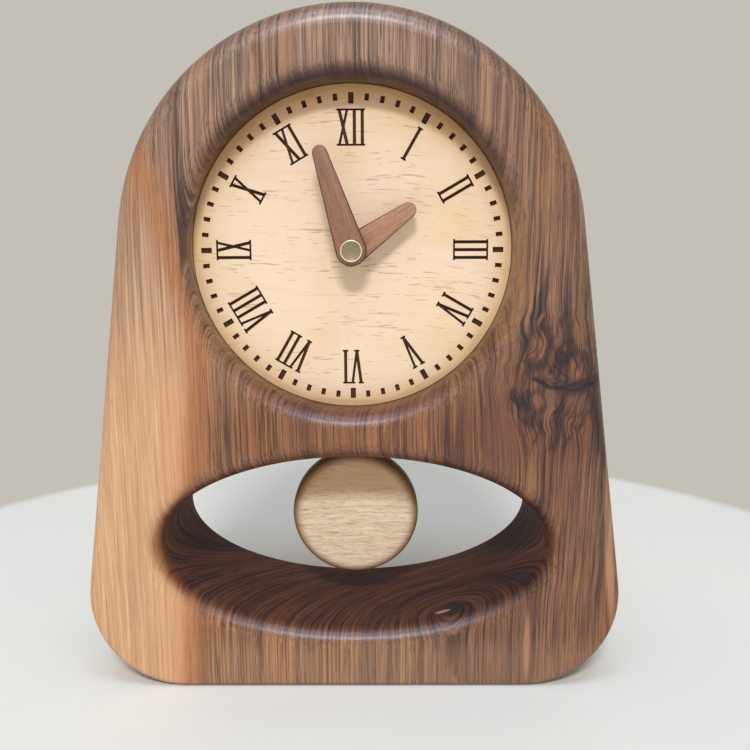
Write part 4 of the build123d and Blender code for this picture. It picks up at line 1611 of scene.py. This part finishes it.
    def build(self) -> None:
        """Builds the dial, engraves it and puts it in place of the plain CAD disc."""
        finishes = [MapleFinish().build(), ScorchFinish().build()]
        dial = Workshop.add_piece("engraved_dial", self._disc(), finishes)
        for cutter in (self._bore(), self._cutters()):
            cut = dial.modifiers.new(cutter.name, "BOOLEAN")
            cut.operation = "DIFFERENCE"
            cut.solver = "EXACT"
            cut.use_self = True
            cut.object = cutter
            graph = bpy.context.evaluated_depsgraph_get()
            plain, dial.data = dial.data, bpy.data.meshes.new_from_object(dial.evaluated_get(graph))
            dial.modifiers.clear()
            spent = cutter.data
            bpy.data.objects.remove(cutter)
            for mesh in (plain, spent):
                bpy.data.meshes.remove(mesh)
        LOG.info("engraved_dial carved: %d faces", len(dial.data.polygons))
        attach(dial, "clock")
        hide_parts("dial")


@dataclass
class WoodenHands:
    """Hour and minute hand, cut by laser from thin walnut.

    edge: width of the broken edges. hour_trim, minute_trim: how much shorter each hand is than its blank.
    """

    edge: float = 0.22
    hour_trim: float = 0.7
    minute_trim: float = 3.0
    hour: HandWoodFinish = HandWoodFinish(
        "hour hand walnut", 55.2, 28.3, 5.6, 2.9, (178, 132, 103), (140, 90, 68), (198, 154, 122)
    )
    minute: HandWoodFinish = HandWoodFinish(
        "minute hand walnut", -17.6, 39.0, 5.6, 2.7, (150, 106, 84), (116, 74, 56), (172, 126, 100)
    )

    @staticmethod
    def _trim(shape: Mesh, finish: HandWoodFinish, trim: float) -> None:
        """Draws a hand's round tip in towards the shaft.

        Args:
            shape: the hand's mesh, in metres.
            finish: its direction, length and shaft height.
            trim: how far the tip moves, in millimetres.
        """
        turn = math.radians(finish.angle)
        outward = Vector((math.sin(turn), 0.0, math.cos(turn)))
        shaft = Vector((0.0, 0.0, finish.shaft_z * MM))
        tip = [v for v in shape.verts if (v.co - shaft).dot(outward) > finish.length / 2 * MM]
        bmesh.ops.translate(shape, verts=tip, vec=outward * (-trim * MM))

    def build(self) -> None:
        """Builds both hands from their CAD outlines, trimmed to length, with lightly broken edges."""
        for node, body, finish, trim in (
            ("hour_hand", "hour_train", self.hour, self.hour_trim),
            ("minute_hand", "minute_train", self.minute, self.minute_trim),
        ):
            shape = Workshop.softened(node, self.edge)
            self._trim(shape, finish, trim)
            hand = Workshop.add_piece(f"sanded_{node}", shape, [finish.build()])
            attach(hand, body)
            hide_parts(node)


@dataclass
class CapNut:
    """Closed brass nut at the end of the hand shaft, turned with a rounded rim.

    dish: depth of its face under the rim. rim_start: how far in the rim's curve begins. back_break:
    broken edge at its back.
    """

    shaft_z: float = SHAFT_Z
    front: float = -31.0
    back: float = -29.4
    radius: float = 4.0
    rim: float = 0.42
    rim_steps: int = 5
    rim_start: float = 0.06
    dish: float = 0.12
    back_break: float = 0.15
    thread_radius: float = 1.3
    thread_depth: float = 0.9
    sides: int = 96

    def _section(self) -> list[Span]:
        """Draws the nut's half section.

        Returns:
            Its corners, as distances from the shaft and places along it.
        """
        face_edge, face = self.radius - self.rim, self.front + self.dish
        section = [(0.0, face), (face_edge - self.dish, face), (face_edge, self.front + 0.02)]
        start, curve = face_edge + self.rim_start, self.rim - self.rim_start
        for step in range(self.rim_steps + 1):
            turn = math.radians(90) * step / self.rim_steps
            section.append((start + curve * math.sin(turn), self.front + self.rim * (1 - math.cos(turn))))
        return section + [
            (self.radius, self.back - self.back_break),
            (self.radius - self.back_break, self.back),
            (self.thread_radius, self.back),
            (self.thread_radius, self.back - self.thread_depth),
            (0.0, self.back - self.thread_depth),
        ]

    def build(self) -> None:
        """Turns the nut from its half section and puts it in place of the CAD one."""
        shape = bmesh.new()
        centre = (0.0, 0.0, self.shaft_z * MM)
        points = [shape.verts.new((out * MM, along * MM, centre[2])) for out, along in self._section()]
        edges = [shape.edges.new(pair) for pair in zip(points, points[1:])]
        bmesh.ops.spin(
            shape, geom=points + edges, cent=centre, axis=(0.0, 1.0, 0.0), dvec=(0.0, 0.0, 0.0),
            angle=math.radians(360), steps=self.sides, use_merge=True, use_duplicate=False,
        )
        bmesh.ops.remove_doubles(shape, verts=shape.verts, dist=0.001 * MM)
        bmesh.ops.recalc_face_normals(shape, faces=shape.faces)
        nut = Workshop.add_piece("turned_cap_nut", shape, [NutFaceFinish().build()], 40.0)
        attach(nut, "minute_train")
        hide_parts("hand_nut")


@dataclass
class PendulumParts:
    """Bob, rod, hanger and magnet."""

    hanger_edge: float = 0.25
    bob: Finish = BobWoodFinish()
    steel: Finish = MetalFinish("drawn rod steel", (190, 190, 188), (150, 150, 150), 0.32, Axis.X, 0.3)
    magnet: Finish = MetalFinish("nickelled magnet", (200, 198, 192), (160, 158, 154), 0.26, Axis.Y, 0.2)
    hanger: Finish = MouldedFinish("white hanger plastic", (228, 226, 218), (206, 204, 196), 0.42)

    def build(self) -> None:
        """Finishes the parts that swing."""
        Workshop.dress(self.bob, "pendulum_bob")
        Workshop.dress(self.steel, "pendulum_rod")
        Workshop.dress(self.magnet, "hanger_magnet")
        Workshop.soften(self.hanger, self.hanger_edge, "pendulum", "hanger_plastic", "pendulum_hanger")


@dataclass
class Movement:
    """The works behind the dial, with its shells, gears, coils, battery and setting knob.

    shell_edge, knob_edge: widths of their broken edges. shell, knob: their plastics. finished: each
    other finish with the nodes that it is for.
    """

    shell_edge: float = 0.35
    knob_edge: float = 0.25
    shell: Finish = MouldedFinish("black shell plastic", (44, 44, 46), (58, 58, 60), 0.50, 0.03)
    knob: Finish = MouldedFinish("grey knob plastic", (84, 84, 86), (104, 104, 106), 0.42)
    finished: tuple[tuple[Finish, tuple[str, ...]], ...] = (
        (
            MetalFinish("turned brass", (206, 170, 104), (176, 138, 78), 0.30, Axis.Y),
            ("mounting_nut", "centre_bush", "hour_hand_bush", "minute_hand_bush"),
        ),
        (MouldedFinish("black rubber", (36, 35, 34), (52, 50, 48), 0.78, 0.05, 3.0), ("rubber_washer",)),
        (
            MouldedFinish("natural gear nylon", (232, 226, 208), (216, 208, 186), 0.38, 0.01),
            ("centre_wheel", "hour_wheel", "motion_work_wheel", "third_wheel", "rotor_pinion"),
        ),
        (
            MetalFinish("ground steel", (196, 196, 194), (158, 158, 158), 0.26, Axis.Y),
            ("minute_arbor", "pivot_pin"),
        ),
        (MetalFinish("sintered magnet", (96, 94, 92), (74, 72, 72), 0.45, Axis.Y, 0.3), ("rotor_magnet",)),
        (
            MetalFinish("stamped soft iron", (168, 166, 162), (140, 138, 134), 0.40, Axis.X, 0.5),
            ("stator", "coil_core"),
        ),
        (WindingFinish("motor winding", Axis.X, 0.18), ("motor_coil",)),
        (WindingFinish("drive winding", Axis.Y, 0.22), ("drive_coil",)),
        (BoardFinish(), ("circuit_board",)),
        (BatterySleeveFinish(), ("battery",)),
        (
            MetalFinish("plated spring strip", (204, 200, 190), (176, 170, 158), 0.28, Axis.Z, 0.3),
            ("battery_contact_positive", "battery_contact_negative"),
        ),
    )

    def build(self) -> None:
        """Finishes every part of the movement."""
        shells = ("movement_front_shell", "movement_rear_shell")
        Workshop.soften(self.shell, self.shell_edge, "clock", "shell_plastic", *shells)
        Workshop.soften(self.knob, self.knob_edge, "setting", "knob_plastic", "set_knob")
        for finish, nodes in self.finished:
            Workshop.dress(finish, *nodes)


def main() -> None:
    """Builds the studio, then the clock from the case inwards."""
    logging.basicConfig(level=logging.INFO, format="%(name)s: %(message)s")
    for group in (StudioRig, WalnutCase, EngravedDial, WoodenHands, CapNut, PendulumParts, Movement):
        group().build()


if __name__ == "__main__":
    main()
